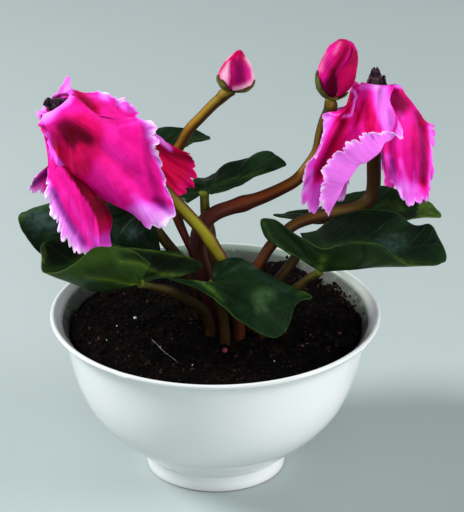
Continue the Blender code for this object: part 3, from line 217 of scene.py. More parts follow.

# How each petal looks: what runs along its margin, the notches (-) and points (+) in it as (x, y,
# width, millimetres) and the marks and folds on it as painted() takes them, a fold in millimetres
# towards the camera; its shade marks are painted shade in folds, creases and hollows and under other
# petals; all of these places are dots of the camera's picture
LEFT_PETALS = [
    dict(columns=300, rows=52, rim=[0.3, 0.1, 0, 0.05, 0.5, 0.7, 0.7, 0.7, 0.7, 0.5, 0.4],
        fringe=[0.6, 0.25, 0.1, 0.12, 0.5, 0.8, 0.7, 0.6, 0.8, 1, 1],
        lift=[-4.2, -2.4, -1, -0.6, -0.3, 0, 0, -0.2, -0.6, -1.2, -1.8],
        spread=[1.6, 0.5, 0, 0, 0, 0, 0, -0.3, -0.8, -1.6, -2.4],
        ruffle=[1, 0.3, 0.1, 0.1, 0.4, 0.5, 0.6, 0.8, 0.8, 0.7, 0.6], swell=0.22,
        lobes=[(155, 227.5, 2.6, -2.8), (149.5, 229, 1, 0.3), (161, 226, 1.5, -1.6), (168, 222, 2, 0.5),
        (167, 189, 2, -1.8), (164.5, 178, 3.5, 1.2), (162, 170, 1.5, -0.6), (161, 164, 3, 1.3),
        (158.3, 155.5, 1.5, -1.4), (156.6, 149, 1.5, -1.2), (155, 142, 2, 0.7), (152, 130, 1.6, -0.8),
        (143, 223, 2.2, -1.6), (134, 217, 1.8, -0.9)],
        eye=[("patch", [59, 125, 66, 121, 76, 126, 85, 132, 91, 138, 86, 140, 78, 139, 72, 141, 67, 136,
        61, 131], 12, 1), ("line", [70, 132, 73, 142, 74, 152], 4.5, 0.3),
        ("line", [84, 138, 92, 147, 100, 156], 3.5, 0.22)],
        curl=(1.3, 0.4),
        red=[("patch", [55, 130, 64, 118, 84, 114, 100, 124, 102, 136, 94, 152, 90, 172, 80, 188, 66, 180,
        57, 156], 10, 0.8), ("line", [57, 150, 62, 170, 72, 183, 84, 190, 96, 194], 6, 0.5),
        ("line", [96, 146, 112, 160, 130, 176], 5, 0.3), ("line", [98, 156, 112, 176, 126, 192], 5, 0.3)],
        lilac=[("patch", [30, 120, 32, 108, 45, 98, 60, 88, 70, 84, 74, 96, 70, 104, 60, 110, 53, 119,
        46, 124], 5, 0.66), ("line", [153, 124, 154, 138, 156, 150], 5, 0.6),
        ("line", [157, 154, 162, 166, 165, 182, 168, 196], 4, 0.3),
        ("patch", [150, 214, 172, 208, 174, 222, 160, 228, 150, 224], 3.5, 0.2),
        ("line", [147, 122, 148, 136], 4, 0.35), ("patch", [128, 208, 142, 204, 154, 204, 166, 206, 176, 212,
        168, 230, 148, 232, 136, 220], 8, 0.55), ("line", [134, 196, 146, 208], 6, 0.22),
        ("line", [110, 114, 125, 113, 138, 115, 148, 122], 2.5, 0.3),
        ("line", [118, 128, 130, 124, 142, 124], 4, 0.15),
        ("line", [47, 134, 50, 146, 56, 158, 62, 167], 3, 0.45)],
        painted_shade=[("line", [145, 126, 146, 142, 147, 158, 149, 172, 152, 184, 158, 194, 163, 202], 6.5, 0.62),
        ("line", [155, 200, 163, 206, 170, 212], 4.5, 0.6),
        ("line", [157, 150, 161, 164, 164, 178], 4.5, 0.4),
        ("patch", [38, 118, 50, 124, 58, 128, 60, 150, 50, 140, 42, 128], 5, 0.45),
        ("line", [152, 128, 154, 146, 158, 162, 163, 178], 3.5, 0.2),
        ("line", [56, 134, 58, 150, 62, 166, 72, 182], 4, 0.45),
        ("line", [71, 146, 73, 160, 78, 174], 3.5, 0.4), ("line", [98, 118, 110, 121, 124, 118], 2.5, 0.28),
        ("line", [98, 144, 118, 158, 136, 172], 2.2, 0.22),
        ("line", [124, 115, 130, 117, 136, 119], 1.4, 0.55),
        ("line", [74, 177, 84, 187, 98, 194, 112, 202], 4.5, 0.42),
        ("line", [44, 126, 49, 138, 54, 148], 2, 0.4)],
        folds=[("line", [143, 126, 147, 145, 148, 165, 153, 186], 5, -0.7),
        ("line", [135, 126, 138, 146, 141, 168], 4.5, 0.8),
        ("crease", [76, 94, 84, 107, 96, 114, 112, 115, 125, 113], 3.6, 0.35),
        ("line", [100, 121, 112, 122, 124, 119, 137, 120], 3.5, -0.6),
        ("crease", [112, 127, 124, 122, 137, 121, 149, 123], 2.5, 1),
        ("line", [92, 142, 115, 162, 135, 182, 150, 203], 6.5, -0.8),
        ("line", [82, 150, 102, 174, 122, 198], 8, 0.9), ("line", [100, 136, 124, 148, 140, 166], 7, 0.7),
        ("line", [59, 134, 61, 150, 59, 166], 3, 1), ("line", [66, 140, 68, 158, 68, 172], 3.5, -0.7)]),
    dict(columns=260, rows=46, under=0, rim=[0.5, 0.6, 0.7, 0.7, 0.7, 0.7, 0.6, 0.4, 0.1, 0, 0],
        spread=[0.2, 0.2, 0.2, 0.2, 0.1, 0, 0, 0, 0, 0], lift=[-3.4, -3.2, -2.6, -1.8, -0.9, 0, 0, 0, 0, 0],
        fringe=[0.8, 1.2, 1.2, 1.2, 1.2, 1.1, 0.8, 0.5, 0.2, 0.15, 0.15],
        ruffle=[0.5, 0.7, 0.9, 0.9, 0.9, 0.7, 0.4, 0.3, 0.2, 0.2, 0.2], swell=0.12,
        lobes=[(47, 180, 2.2, 0.8), (46, 189, 1.7, -1.5), (48, 204, 1.8, -2.4), (51, 212, 3, 0.8),
        (58, 226, 1.9, -3.2), (62, 232, 2.6, 0.9), (68, 243, 2.1, -3.8), (75, 249, 2.6, 0.8)],
        # Right of the fold: the dark eye, crimson and painted shade of the half turned away from the light.
        eye=[("patch", [62, 162, 72, 172, 82, 184, 88, 196, 82, 196, 74, 182, 64, 168], 4, 0.8),
        ("only", FOLD_BACK, 1.6, 1)],
        red=[("patch", [60, 150, 60, 250, 124, 250, 124, 150], 4, 1), ("only", FOLD_BACK, 1.4, 1),
        ("patch", [90, 230, 124, 226, 124, 256, 90, 256], 14, -0.55)],
        painted_shade=[("patch", [56, 158, 80, 158, 112, 194, 112, 208, 88, 214, 70, 190], 13, 1),
        ("only", FOLD_BACK, 1.3, 1), ("patch", [90, 204, 112, 204, 122, 246, 96, 246], 4, 0.72),
        ("only", [-99, -99, -99, 400, 70, 400, 95, 215, 98, 228, 100, 250, 100, 400, 400, 400,
        400, -99], 0.5, 1), ("line", [54, 190, 59, 202, 66, 215, 74, 228, 84, 243], 5, 0.85),
        ("line", [88, 212, 94, 226, 96, 240], 3, 0.14)],
        lilac=[("patch", [38, 184, 48, 180, 56, 192, 62, 207, 70, 221, 80, 235, 90, 256, 70, 254,
        46, 225], 6, 0.62), ("patch", [30, 128, 32, 106, 45, 97, 60, 92, 52, 126, 44, 132], 5, 0.6, 0.2, 0.5),
        ("line", [66, 192, 76, 210, 88, 232], 5, 0.16),
        ("patch", [90, 236, 114, 230, 118, 256, 90, 256], 9, 0.3)],
        folds=[("crease", [62, 164, 67, 172, 75, 183, 83, 195, 90, 205, 96, 216, 99, 228, 101, 246], 8, 3.6),
        ("line", [58, 198, 66, 214, 76, 232], 3.5, -0.7), ("line", [66, 196, 76, 214, 86, 232], 4.5, 0.4)]),
    dict(columns=130, rows=30, rim=0.6, fringe=1.3, ruffle=1.1, lift=[-4.6, -4, -3.2, -3, -3],
        spread=[0.5, -0.4, -1.4, -2.4, -3], lobes=[(30, 192, 1.6, -1.6), (38, 192, 1.8, -1.6),
        (34, 181, 3.5, 1.1)],
        red=[("line", [40, 178, 46, 160, 44, 140], 5, 0.6)],
        painted_shade=[("line", [33, 184, 41, 178, 50, 170], 4.5, 1), ("line", [46, 172, 44, 150, 42, 134], 3, 0.5)],
        lilac=[("patch", [22, 180, 34, 170, 42, 184, 36, 196, 22, 194], 5, 0.35), ("patch", [28, 128, 30, 106,
        45, 96, 60, 90, 52, 126, 44, 132], 5, 0.6, 0.2, 0.55),
        ("line", [36, 118, 40, 134, 48, 150], 3, 0.4)]),
    dict(columns=240, rows=42, rim=[0.3, 0.3, 0.3, 0.3, 0.5, 0.8, 0.9, 0.8, 0.8, 0.7], ruffle=0.7,
        fringe=[0.05, 0.05, 0.05, 0.1, 0.2, 0.8, 1.1, 1.1, 1.1, 1],
        lift=[-3.2, -3.2, -3.2, -3.4, -3.4, -3.4, -3.2, -2.6, -2, -1.6],
        spread=[-2.6, -2.8, -2.8, -3, -3, -2.8, -2.4, -2, -1.6, -1.2], lobes=[(111, 97, 1.8, -1.4),
        (107, 101, 1.4, -0.8), (121, 99, 1.4, -0.7), (104, 91, 1.4, 0.6)],
        red=[("patch", [72, 88, 80, 93, 90, 100, 99, 109, 99, 116, 86, 111, 77, 99], 4, 0.95),
        ("line", [98, 104, 112, 110], 3, 0.25)],
        painted_shade=[("patch", [73, 89, 83, 97, 96, 107, 97, 114, 86, 109, 77, 98], 3.5, 0.75),
        ("line", [120, 103, 128, 108, 135, 112], 3.5, 0.5),
        ("line", [113, 97, 116, 106, 124, 112], 2.5, 0.3)],
        lilac=[("patch", [98, 88, 106, 91, 109, 102, 101, 100], 4, 0.55),
        ("patch", [60, 96, 66, 72, 74, 84, 72, 94], 4, 0.35),
        ("patch", [113, 93, 122, 97, 125, 109, 116, 106], 4, 0.45), ("patch", [40, 106, 54, 95, 62, 86,
        70, 82, 72, 92, 60, 99, 48, 110], 5, 0.42),
        ("patch", [122, 103, 133, 104, 133, 114, 122, 113], 4, 0.25), ("line", [88, 96, 98, 97], 3, 0.2)],
        folds=[("line", [78, 96, 88, 105, 98, 112], 4, -1.2), ("line", [118, 96, 118, 108], 2.5, -0.7),
        ("line", [124, 99, 127, 110], 2.5, 0.6)]),
    dict(columns=200, rows=36, under=0, rim=0.1, fringe=1.4, ruffle=0.8, swell=0.3, lift=-4, spread=-2.8,
        lobes=[(192, 165, 1.8, -3), (190, 159, 2, 0.5), (189, 187, 1.6, -1.8), (180, 191, 1.5, -1.4),
        (194, 176, 1.4, -1)],
        painted_shade=[("line", [154, 146, 168, 152, 182, 156, 196, 160], 5.5, 0.85),
        ("line", [168, 164, 180, 171, 192, 176], 1.6, 0.3), ("line", [162, 168, 172, 180], 1.6, 0.25),
        ("line", [164, 184, 176, 192], 3, 0.3)],
        red=[("patch", [140, 120, 200, 140, 205, 200, 150, 200], 6, 1),
        ("line", [194, 166, 192, 180, 180, 190], 5, -0.45)],
        eye=[("line", [156, 147, 172, 153, 186, 157, 196, 160], 4, 0.25)],
        lilac=[("line", [153, 134, 162, 141, 170, 149], 2.4, 0.75)],
        folds=[("line", [160, 156, 176, 166, 190, 172], 3.5, -0.6),
        ("line", [160, 166, 172, 178, 180, 188], 3, 0.5)])]
RIGHT_PETALS = [
    dict(columns=320, rows=52, under=0, rim=[0.4, 0.6, 0.65, 0.65, 0.65, 0.65, 0.65, 0.65, 0.6, 0.5, 0.3],
        fringe=[0.5, 0.6, 0.9, 0.9, 0.8, 0.8, 0.8, 0.7, 0.7, 0.6, 0.4], pale_wide=1.1, frill=1.9,
        ruffle=[0.4, 0.4, 0.5, 0.6, 0.7, 0.7, 0.7, 0.7, 0.6, 0.4, 0.3], lobes=[(328, 165.5, 1.9, -3.8),
        (322, 172, 2, 0.6), (322, 182, 1.7, -1.6), (331, 158.5, 1.4, -1.6), (334, 155, 1.8, 0.7),
        (341, 150, 1.7, -1.8), (348, 144, 2.6, 0.9), (357, 138, 1.5, -2.8), (366, 132, 4, 0.7),
        (380, 132, 1.5, -1.3), (391, 131, 1.3, -0.8), (320.5, 196, 1.5, -0.8)],
        painted_shade=[("line", [350, 114, 342, 131, 335, 149, 328, 166], 3.8, 0.95, 0.36, 0.8),
        ("line", [374, 106, 376, 114, 374, 122], 2.4, 0.22, 0.4, 0.76),
        ("patch", [377, 88, 389, 90, 392, 112, 380, 116], 5, 0.24, 0.3, 0.76),
        ("line", [360, 130, 374, 128, 392, 124], 2, 0.3, 0.4, 0.78),
        ("line", [371, 130, 373, 139], 1.8, 0.55, 0.8, 1), ("line", [350, 146, 354, 152], 1.6, 0.22, 0.8, 1),
        ("line", [341, 160, 348, 164], 1.8, 0.22, 0.8, 1), ("line", [332, 172, 344, 170], 2, 0.16, 0.8, 1),
        ("line", [343, 190, 340, 200, 334, 208], 3, 0.25, 0.8, 1)],
        lift=-0.3,
        red=[("line", [356, 116, 346, 126, 337, 142, 330, 160], 6, 1, 0.4, 0.78),
        ("line", [367, 104, 370, 116, 370, 128], 6, 0.8, 0.4, 0.74),
        ("line", [356, 112, 354, 120], 4, 0.3, 0.4, 0.74)],
        lilac=[("patch", [373, 84, 388, 86, 390, 100, 394, 112, 402, 122, 398, 134, 384, 134, 378, 120,
        374, 104], 5, 0.58, 0.3, 0.76), ("patch", [310, 225, 312, 155, 346, 130, 372, 122, 410, 118, 410, 146,
        380, 155, 352, 186, 336, 225], 5, 0.56, 0.8, 1), ("line", [362, 90, 376, 88], 3, 0.2, 0.3, 0.6),
        ("line", [352, 86, 366, 86, 378, 85], 2.5, 0.35, 0.2, 0.5)],
        folds=[("line", [378, 90, 377, 108, 379, 126], 3, -0.9, 0.4, 0.74),
        ("line", [368, 92, 369, 110, 368, 126], 3.5, 0.8, 0.4, 0.74),
        ("line", [360, 92, 358, 112, 352, 130], 3.5, -0.6, 0.4, 0.74)]),
    dict(columns=240, rows=44, under=0, rim=[0, 0, 0, 0, 0.4, 0.7, 0.7, 0.7, 0.7, 0.7, 0.5],
        fringe=[0.1, 0.1, 0.2, 0.5, 1.2, 1.1, 1.1, 1.1, 1.1, 1, 0.6], lobes=[(296, 186, 2, -2.2),
        (306, 206, 2, -1.6), (318, 212, 1.6, -1.4), (300, 164, 2, -1)],
        painted_shade=[("patch", [309, 182, 322, 172, 328, 206, 312, 208], 6, 0.55),
        ("line", [343, 122, 335, 138, 326, 156, 318, 172], 5, 0.85),
        ("line", [300, 190, 306, 182, 312, 174], 2.4, 0.5), ("line", [346, 94, 343, 104, 342, 114], 2, 0.4)],
        ruffle=[0.1, 0.1, 0.3, 0.5, 0.7, 0.7, 0.7, 0.7, 0.7, 0.7, 0.8],
        red=[("line", [350, 92, 347, 106, 342, 116], 5, 0.8),
        ("line", [344, 122, 337, 138, 330, 156, 320, 176], 6, 0.9)],
        lilac=[("line", [330, 118, 324, 134, 316, 152, 306, 170, 299, 190], 5, 0.4),
        ("line", [304, 172, 301, 190], 4, 0.35), ("line", [312, 172, 310, 182, 306, 190], 2.6, 0.45),
        ("patch", [306, 190, 324, 180, 328, 216, 302, 214], 7, 0.42),
        ("line", [343, 117, 352, 115, 354, 106, 357, 95, 350, 86], 1.4, 0.7)],
        folds=[("line", [328, 122, 322, 140, 312, 160], 4, 0.7),
        ("line", [340, 124, 332, 144, 322, 166], 4, -0.8),
        ("line", [316, 176, 314, 194, 312, 208], 3, -0.5)]),
    dict(columns=260, rows=46, rim=[0.1, 0.3, 0.55, 0.6, 0.5, 0.45, 0.4, 0.4, 0.4, 0.35, 0.25],
        lift=[-0.4, -0.8, -1.4, -2.2, -3], lobes=[(400, 200, 1.8, -1), (410, 206, 1.6, -1.2),
        (418, 204, 1.8, -1.2), (428, 174, 2, -1.4), (431, 158, 1.8, -1.2), (432, 140, 2, -1.2)],
        painted_shade=[("line", [417, 114, 421, 130, 423, 150, 421, 180], 6.5, 0.78),
        ("line", [391, 160, 392, 172, 395, 184], 4, 0.42),
        ("patch", [386, 86, 398, 88, 411, 104, 403, 116, 390, 112], 7, 0.92),
        ("line", [381, 150, 384, 164, 389, 178], 3.5, 0.6),
        ("line", [392, 160, 396, 174, 402, 190], 2.4, 0.35), ("line", [391, 136, 391, 152], 1.6, 0.35),
        ("line", [412, 140, 416, 156], 4, 0.2)],
        fringe=[0.3, 0.4, 0.9, 1, 1.1, 1.1, 1.1, 1.1, 1.1, 1, 0.6],
        ruffle=[0.2, 0.3, 0.5, 0.5, 0.5, 0.6, 0.9, 1.1, 1.1, 1, 0.7],
        red=[("patch", [385, 84, 402, 86, 413, 106, 402, 118, 391, 114], 7, 0.5),
        ("line", [380, 146, 384, 160, 388, 174], 5, 0.5), ("line", [412, 130, 414, 150], 6, 0.4),
        ("line", [421, 120, 424, 142, 424, 162, 424, 182], 5, 0.7)],
        lilac=[("patch", [394, 192, 404, 182, 416, 186, 424, 198, 414, 210, 400, 206], 9, 0.4),
        ("line", [388, 156, 393, 170, 400, 188], 4, 0.3), ("line", [400, 160, 404, 174, 407, 188], 3.5, 0.25),
        ("line", [414, 172, 416, 190], 3, 0.18), ("line", [398, 112, 402, 118], 4, 0.2),
        ("line", [420, 130, 423, 150, 423, 176], 4, 0.16),
        ("patch", [386, 80, 400, 81, 411, 92, 398, 88, 388, 87], 2.5, 0.5),
        ("line", [430, 126, 431, 144, 431, 166, 429, 186], 2.2, 0.3)],
        folds=[("line", [422, 126, 424, 146, 424, 170, 424, 186], 3.5, -1.7),
        ("line", [414, 128, 416, 150, 416, 176], 4, 0.9), ("line", [402, 116, 396, 140, 398, 168], 3.5, 0.8),
        ("line", [391, 128, 388, 150, 392, 172], 3, -0.8)]),
    dict(columns=150, rows=30, rim=0.9, fringe=1.4, ruffle=1.1, lift=-3.4, spread=-1.8,
        red=[("patch", [376, 130, 392, 140, 392, 176, 378, 172], 4, 0.8)],
        painted_shade=[("patch", [374, 138, 386, 142, 387, 168, 380, 172], 4, 0.7)]),
    dict(columns=150, rows=30, rim=0.6, fringe=1.2, ruffle=0.8, lift=-3.4, spread=-1.8,
        painted_shade=[("patch", [335, 178, 350, 178, 350, 196, 335, 200], 6, 0.8),
        ("patch", [330, 102, 346, 102, 346, 118, 330, 118], 4, 0.5)],
        lilac=[("patch", [332, 176, 352, 176, 352, 204, 332, 204], 6, 0.4),
        ("patch", [330, 102, 346, 102, 346, 118, 330, 118], 4, 0.45)])]

# Each bud: foot, tip, widest radius, how wide it is from foot to tip, and its furled petals, each
# with its free edge (share of the height, degrees right of the camera) and its looks; their shade marks
# are painted shade under the free edges, and some of their pale streaks are painted highlights
BUDS = dict(
    small=dict(foot=(6.9, 6, 145.6), tip=(8.8, 5, 160.1), radius=6.3,
        outline=[0.3, 0.78, 0.97, 1, 0.96, 0.88, 0.76, 0.6, 0.4, 0.18], petals=[
        dict(edge=[(0, -8), (0.15, -10), (0.32, -15), (0.54, -24), (0.78, -42), (0.89, -54), (1, -60)],
            span=190, lift=0.32,
            red=[("line", [239, 52, 232, 61, 230, 68, 230.5, 78, 232.5, 87], 1.5, 1),
            ("line", [239, 52, 243, 58], 5, 0.9)],
            painted_shade=[("patch", [232, 60, 240, 58, 245, 66, 246, 84, 233, 86], 5, 0.72)],
            pale=[("line", [247, 58, 253, 68, 254, 78], 2.6, 0.85),
            ("line", [232, 90, 240, 89, 252, 83], 3, 0.75)]),
        dict(edge=[(0, -85), (0.5, -80), (0.78, -74), (0.9, -70), (1, -60)], span=120, lift=0.25,
            red=[("line", [239, 52, 230, 60, 224, 67, 220, 76], 1.4, 1)],
            painted_shade=[("line", [231, 62, 229, 68, 229.5, 78, 231, 86], 1.2, 0.5)],
            pale=[("patch", [221, 74, 229, 62, 230, 74, 228, 84, 221, 84], 3, 0.68)]),
        dict(edge=[(0, 150), (1, 150)], span=170, lift=0.2,
            pale=[("line", [232, 54, 227, 60], 2, 0.5), ("line", [252, 64, 254, 76], 2, 0.8)])]),
    big=dict(foot=(40.9, 12, 140.7), tip=(46.4, 12, 161.1), radius=6.75,
        outline=[0.42, 0.72, 0.89, 0.98, 1, 0.97, 0.91, 0.83, 0.7, 0.44], petals=[
        dict(edge=[(0, 15), (0.07, 16), (0.27, 11), (0.42, -2), (0.55, -2), (0.68, 11), (0.81, 24),
            (0.89, 34), (1, 46)], span=190, lift=0.55,
            red=[("patch", [334, 96, 333, 76, 340, 62, 348, 48, 360, 50, 360, 76, 348, 96], 4, 0.85)],
            painted_shade=[("line", [340, 96, 350, 88, 357, 76], 5, 0.55),
            ("patch", [338, 68, 341, 58, 348, 46, 362, 50, 362, 66], 6, 0.42)],
            pale=[("line", [335, 76, 337, 84, 336.5, 93], 1, 0.22)]),
        dict(edge=[(0, -150), (0.5, -130), (0.8, -110), (1, -70)], span=200, lift=0.3,
            red=[("line", [346, 48, 338, 62, 332, 74, 332, 92], 5.5, 0.9),
            ("line", [338, 42, 350, 42], 4, 0.4)],
            painted_shade=[("line", [347, 49, 340, 61, 334, 71, 333, 82, 335, 94], 2.6, 0.6),
            ("patch", [320, 82, 336, 78, 338, 100, 324, 100], 7, 0.75),
            ("line", [324, 58, 330, 70, 330, 84], 5.5, 0.42)],
            pale=[("line", [340, 43, 335, 53], 1.8, 0.15), ("line", [316, 70, 317, 86], 1.8, 0.75),
            ("line", [325, 54, 321, 70], 2.4, 0.18)]),
        dict(edge=[(0, 150), (1, 170)], span=170, lift=0.2,
            red=[("line", [340, 40, 356, 50], 5, 0.8)])]))

# The pale spot on the front middle leaf, in dots of the picture
PALE_SPOT = [252, 294, 262, 288, 276, 290, 274, 300, 264, 302, 268, 312, 256, 312]

# How each leaf looks: its slot where it isn't the dark green one, and painted marks that pale it
# (its midribs, joints and pale spots, and painted highlights along margins, folds and lit faces),
# give it blue-grey mottling with painted shine where its gloss catches the lamps, or darken it with
# painted shade in its hollows and under the flowers
LEAF_LOOKS = {
    "leaf_front_left": dict(slot="leaf_light_green", seed=11,
        pale=[("patch", [72, 264, 85, 254, 104, 245, 117, 248, 112, 255, 92, 262], 6, 0.22),
        ("line", [86, 277, 112, 279, 136, 284], 1.5, 0.75), ("line", [133, 284, 141, 287], 2.6, 0.9),
        ("line", [120, 261, 140, 262.5, 150, 270, 165, 275, 190, 276], 2, 0.6),
        ("line", [41, 241, 45, 250, 43, 262], 1.3, 0.6), ("line", [52, 250, 66, 258], 0.9, 0.25),
        ("line", [60, 244, 78, 252], 0.9, 0.2), ("line", [118, 246, 150, 251, 190, 258, 203, 262], 1, 0.6)],
        mottling_and_shine_mark=[("line", [64, 280, 76, 281, 92, 280], 4, 0.45)],
        painted_leaf_shade=[("patch", [42, 246, 60, 241, 90, 246, 82, 254, 64, 266, 48, 266], 4, 0.75), ("patch", [84, 268,
        112, 262, 132, 270, 134, 280, 110, 277, 88, 275], 5, 0.45), ("patch", [88, 280, 110, 282, 136, 288,
        128, 296, 100, 296, 84, 288], 3, 0.7), ("patch", [120, 251, 152, 253, 200, 262, 200, 272, 160, 270,
        148, 262, 122, 258], 3.5, 0.7)]),
    "leaf_back_left": dict(seed=21,
        mottling_and_shine_mark=[("patch", [24, 216, 40, 210, 50, 214, 46, 224, 32, 228], 6, 0.6),
        ("patch", [46, 224, 58, 218, 60, 230, 50, 234], 3.5, 0.75),
        ("line", [34, 236, 40, 228, 46, 224], 2.2, 0.5),
        ("patch", [122, 230, 132, 226, 142, 232, 132, 242], 4.5, 0.7),
        ("line", [112, 208, 115, 224, 117, 242], 1.5, 0.4)],
        pale=[("line", [20, 218, 28, 210, 44, 205, 62, 203], 3.5, 0.45)],
        painted_leaf_shade=[("patch", [26, 230, 44, 238, 40, 262, 24, 250], 5, 0.6),
        ("patch", [104, 206, 160, 208, 164, 224, 140, 224, 118, 222], 6, 0.6),
        ("patch", [138, 236, 164, 226, 164, 250, 120, 250], 5, 0.6)]),
    "leaf_front_middle": dict(seed=31,
        mottling_and_shine_mark=[("patch", PALE_SPOT, 5, 0.28), ("line", [232, 270, 242, 266, 254, 268], 2.5, 0.3),
        ("line", [260, 276, 272, 284, 286, 292], 3, 0.18)],
        pale=[("patch", PALE_SPOT, 4.5, 0.42),
        ("line", [148, 270, 165, 275, 190, 276.5, 205, 285, 222, 300], 2.4, 0.8),
        ("line", [298, 296, 304, 292, 313, 295], 2, 0.4)]),
    "leaf_right": dict(seed=41,
        mottling_and_shine_mark=[("patch", [378, 240, 392, 233, 410, 236, 404, 246, 392, 256], 6, 0.42),
        ("line", [322, 232, 338, 222, 352, 224], 5, 0.14)],
        pale=[("line", [320, 276, 320, 266, 324, 258], 4, 0.85), ("patch", [334, 262, 360, 250, 400, 262,
        444, 262, 440, 272, 380, 276, 340, 276], 5, 0.15), ("line", [384, 268, 404, 264, 424, 268], 4, 0.22),
        ("line", [322, 248, 350, 242, 374, 244, 390, 254, 404, 262], 1, 0.35),
        ("line", [263, 222, 272, 240, 296, 258, 316, 262], 1.5, 0.35)],
        painted_leaf_shade=[("patch", [316, 224, 344, 210, 400, 216, 372, 238, 330, 244], 6, 0.65),
        ("patch", [406, 226, 424, 224, 436, 244, 416, 252, 404, 240], 6, 0.5),
        ("line", [364, 246, 365, 258, 356, 268], 2, 0.6)]),
    "leaf_top": dict(seed=51,
        pale=[("line", [214, 186, 240, 178, 268, 172], 2, 0.3)]),
    "leaf_top_left": dict(seed=61),
    "leaf_back_right": dict(seed=71,
        pale=[("patch", [416, 224, 420, 203, 428, 190, 450, 200, 450, 224], 1, 1.6),
        ("line", [378, 208, 386, 202, 392, 206], 2.6, 0.22), ("line", [396, 202, 402, 210], 2.6, 0.25),
        ("line", [386, 216, 396, 214], 2.2, 0.2)]),
}

# Each stalk's slot, its knots as (share of its length, millimetres more), and its skin: colours from top
# to foot at its sides, which are painted in shade, the same where it is painted lit, the colour of its
# streaks and their strength
STALK_SKINS = {
    "stalk_small_bud": ("stalk_brown", [(0.03, 0.35)], [(0, (0.035, 0.022, 0.006)),
        (0.45, (0.035, 0.014, 0.005)), (0.6, (0.022, 0.004, 0.006)), (1, (0.006, 0.003, 0.003))],
        [(0, (0.2, 0.16, 0.02)), (0.15, (0.3, 0.17, 0.014)), (0.3, (0.26, 0.105, 0.01)),
        (0.5, (0.12, 0.03, 0.012)), (0.66, (0.12, 0.018, 0.02)), (0.8, (0.02, 0.005, 0.006))],
        (0.08, 0.014, 0.006), 0.35),
    "stalk_big_bud": ("stalk_brown", [(0.03, 0.3), (0.47, 0.5)], [(0, (0.04, 0.024, 0.006)),
        (0.3, (0.03, 0.01, 0.005)), (0.62, (0.016, 0.005, 0.004)), (1, (0.005, 0.003, 0.003))],
        [(0, (0.24, 0.17, 0.02)), (0.2, (0.22, 0.12, 0.014)), (0.4, (0.17, 0.04, 0.009)),
        (0.52, (0.08, 0.018, 0.008)), (0.62, (0.018, 0.006, 0.006)), (1, (0.008, 0.004, 0.004))],
        (0.07, 0.01, 0.005), 0.4),
    "stalk_left_bloom": ("stalk_yellow", [(0.6, 0.3)], [(0, (0.03, 0.022, 0.006)),
        (0.55, (0.055, 0.018, 0.005)), (0.75, (0.05, 0.012, 0.005)), (1, (0.006, 0.003, 0.003))],
        [(0, (0.1, 0.09, 0.01)), (0.4, (0.16, 0.13, 0.01)), (0.52, (0.3, 0.3, 0.014)),
        (0.66, (0.3, 0.27, 0.014)), (0.78, (0.26, 0.11, 0.012)), (0.86, (0.05, 0.014, 0.006)),
        (1, (0.01, 0.004, 0.003))], (0.1, 0.03, 0.007), 0.3),
    "stalk_right_bloom": ("stalk_brown", [(0.42, 0.3)], [(0, (0.012, 0.007, 0.003)),
        (0.5, (0.022, 0.012, 0.004)), (0.75, (0.02, 0.006, 0.004)), (1, (0.005, 0.003, 0.003))],
        [(0, (0.02, 0.012, 0.005)), (0.3, (0.045, 0.032, 0.008)), (0.42, (0.12, 0.085, 0.018)),
        (0.52, (0.1, 0.045, 0.01)), (0.6, (0.09, 0.045, 0.012)), (0.76, (0.15, 0.036, 0.01)),
        (0.9, (0.02, 0.006, 0.004))], (0.06, 0.012, 0.005), 0.35),
}


def row_place(points):
    """Table lengths as places in the row frame, in metres."""
    return (np.asarray(points, float) + (BOWL_X, 0, 0)) * MM


def at(points, where):
    """A Catmull-Rom curve through the points of the first axis, at these fractional indices."""
    points = np.asarray(points, float)
    ends = np.concatenate([2 * points[:1] - points[1:2], points, 2 * points[-1:] - points[-2:-1]])
    where = np.clip(np.asarray(where, float), 0, len(points) - 1)
    start = np.minimum(where.astype(int), len(points) - 2)
    t = (where - start).reshape((-1,) + (1,) * (points.ndim - 1))
    a, b, c, d = ends[start], ends[start + 1], ends[start + 2], ends[start + 3]
    return 0.5 * (2 * b + (c - a) * t + (2 * a - 5 * b + 4 * c - d) * t ** 2
                  + (3 * b - a - 3 * c + d) * t ** 3)


def wander(place, step, seed):
    """Smooth values from -1 to 1 along a line, with a new random one at every step."""
    values = np.random.default_rng(seed).uniform(-1, 1, 512)
    t = np.asarray(place, float) / step + 37.0
    i = np.floor(t).astype(int)
    f = t - i
    f = f * f * (3 - 2 * f)
    return values[i % 512] * (1 - f) + values[(i + 1) % 512] * f


def bell(away, wide):
    """1 where away is 0, and down smoothly on both sides over this width."""
    return np.exp(-(away / wide) ** 2)


def unit(ways):
    """Directions of length 1."""
    return ways / np.linalg.norm(ways, axis=-1, keepdims=True)


def run_along(points):
    """How far along a row of points each one lies."""
    return np.concatenate([[0], np.cumsum(np.linalg.norm(np.diff(points, axis=0), axis=1))])


def fade(value, low, high):
    """0 below low, 1 above high, and a smooth rise between."""
    t = np.clip((value - low) / (high - low), 0, 1)
    return t * t * (3 - 2 * t)


def seen(points):
    """Where places on the table stand in the camera's picture, in dots."""
    across, back, up = np.moveaxis(np.asarray(points, float) - EYE, -1, 0)
    depth = back * math.cos(LOOK_DOWN) - up * math.sin(LOOK_DOWN)
    rise = back * math.sin(LOOK_DOWN) + up * math.cos(LOOK_DOWN)
    return MIDDLE[0] + FOCAL_DOTS * across / depth, MIDDLE[1] - FOCAL_DOTS * rise / depth


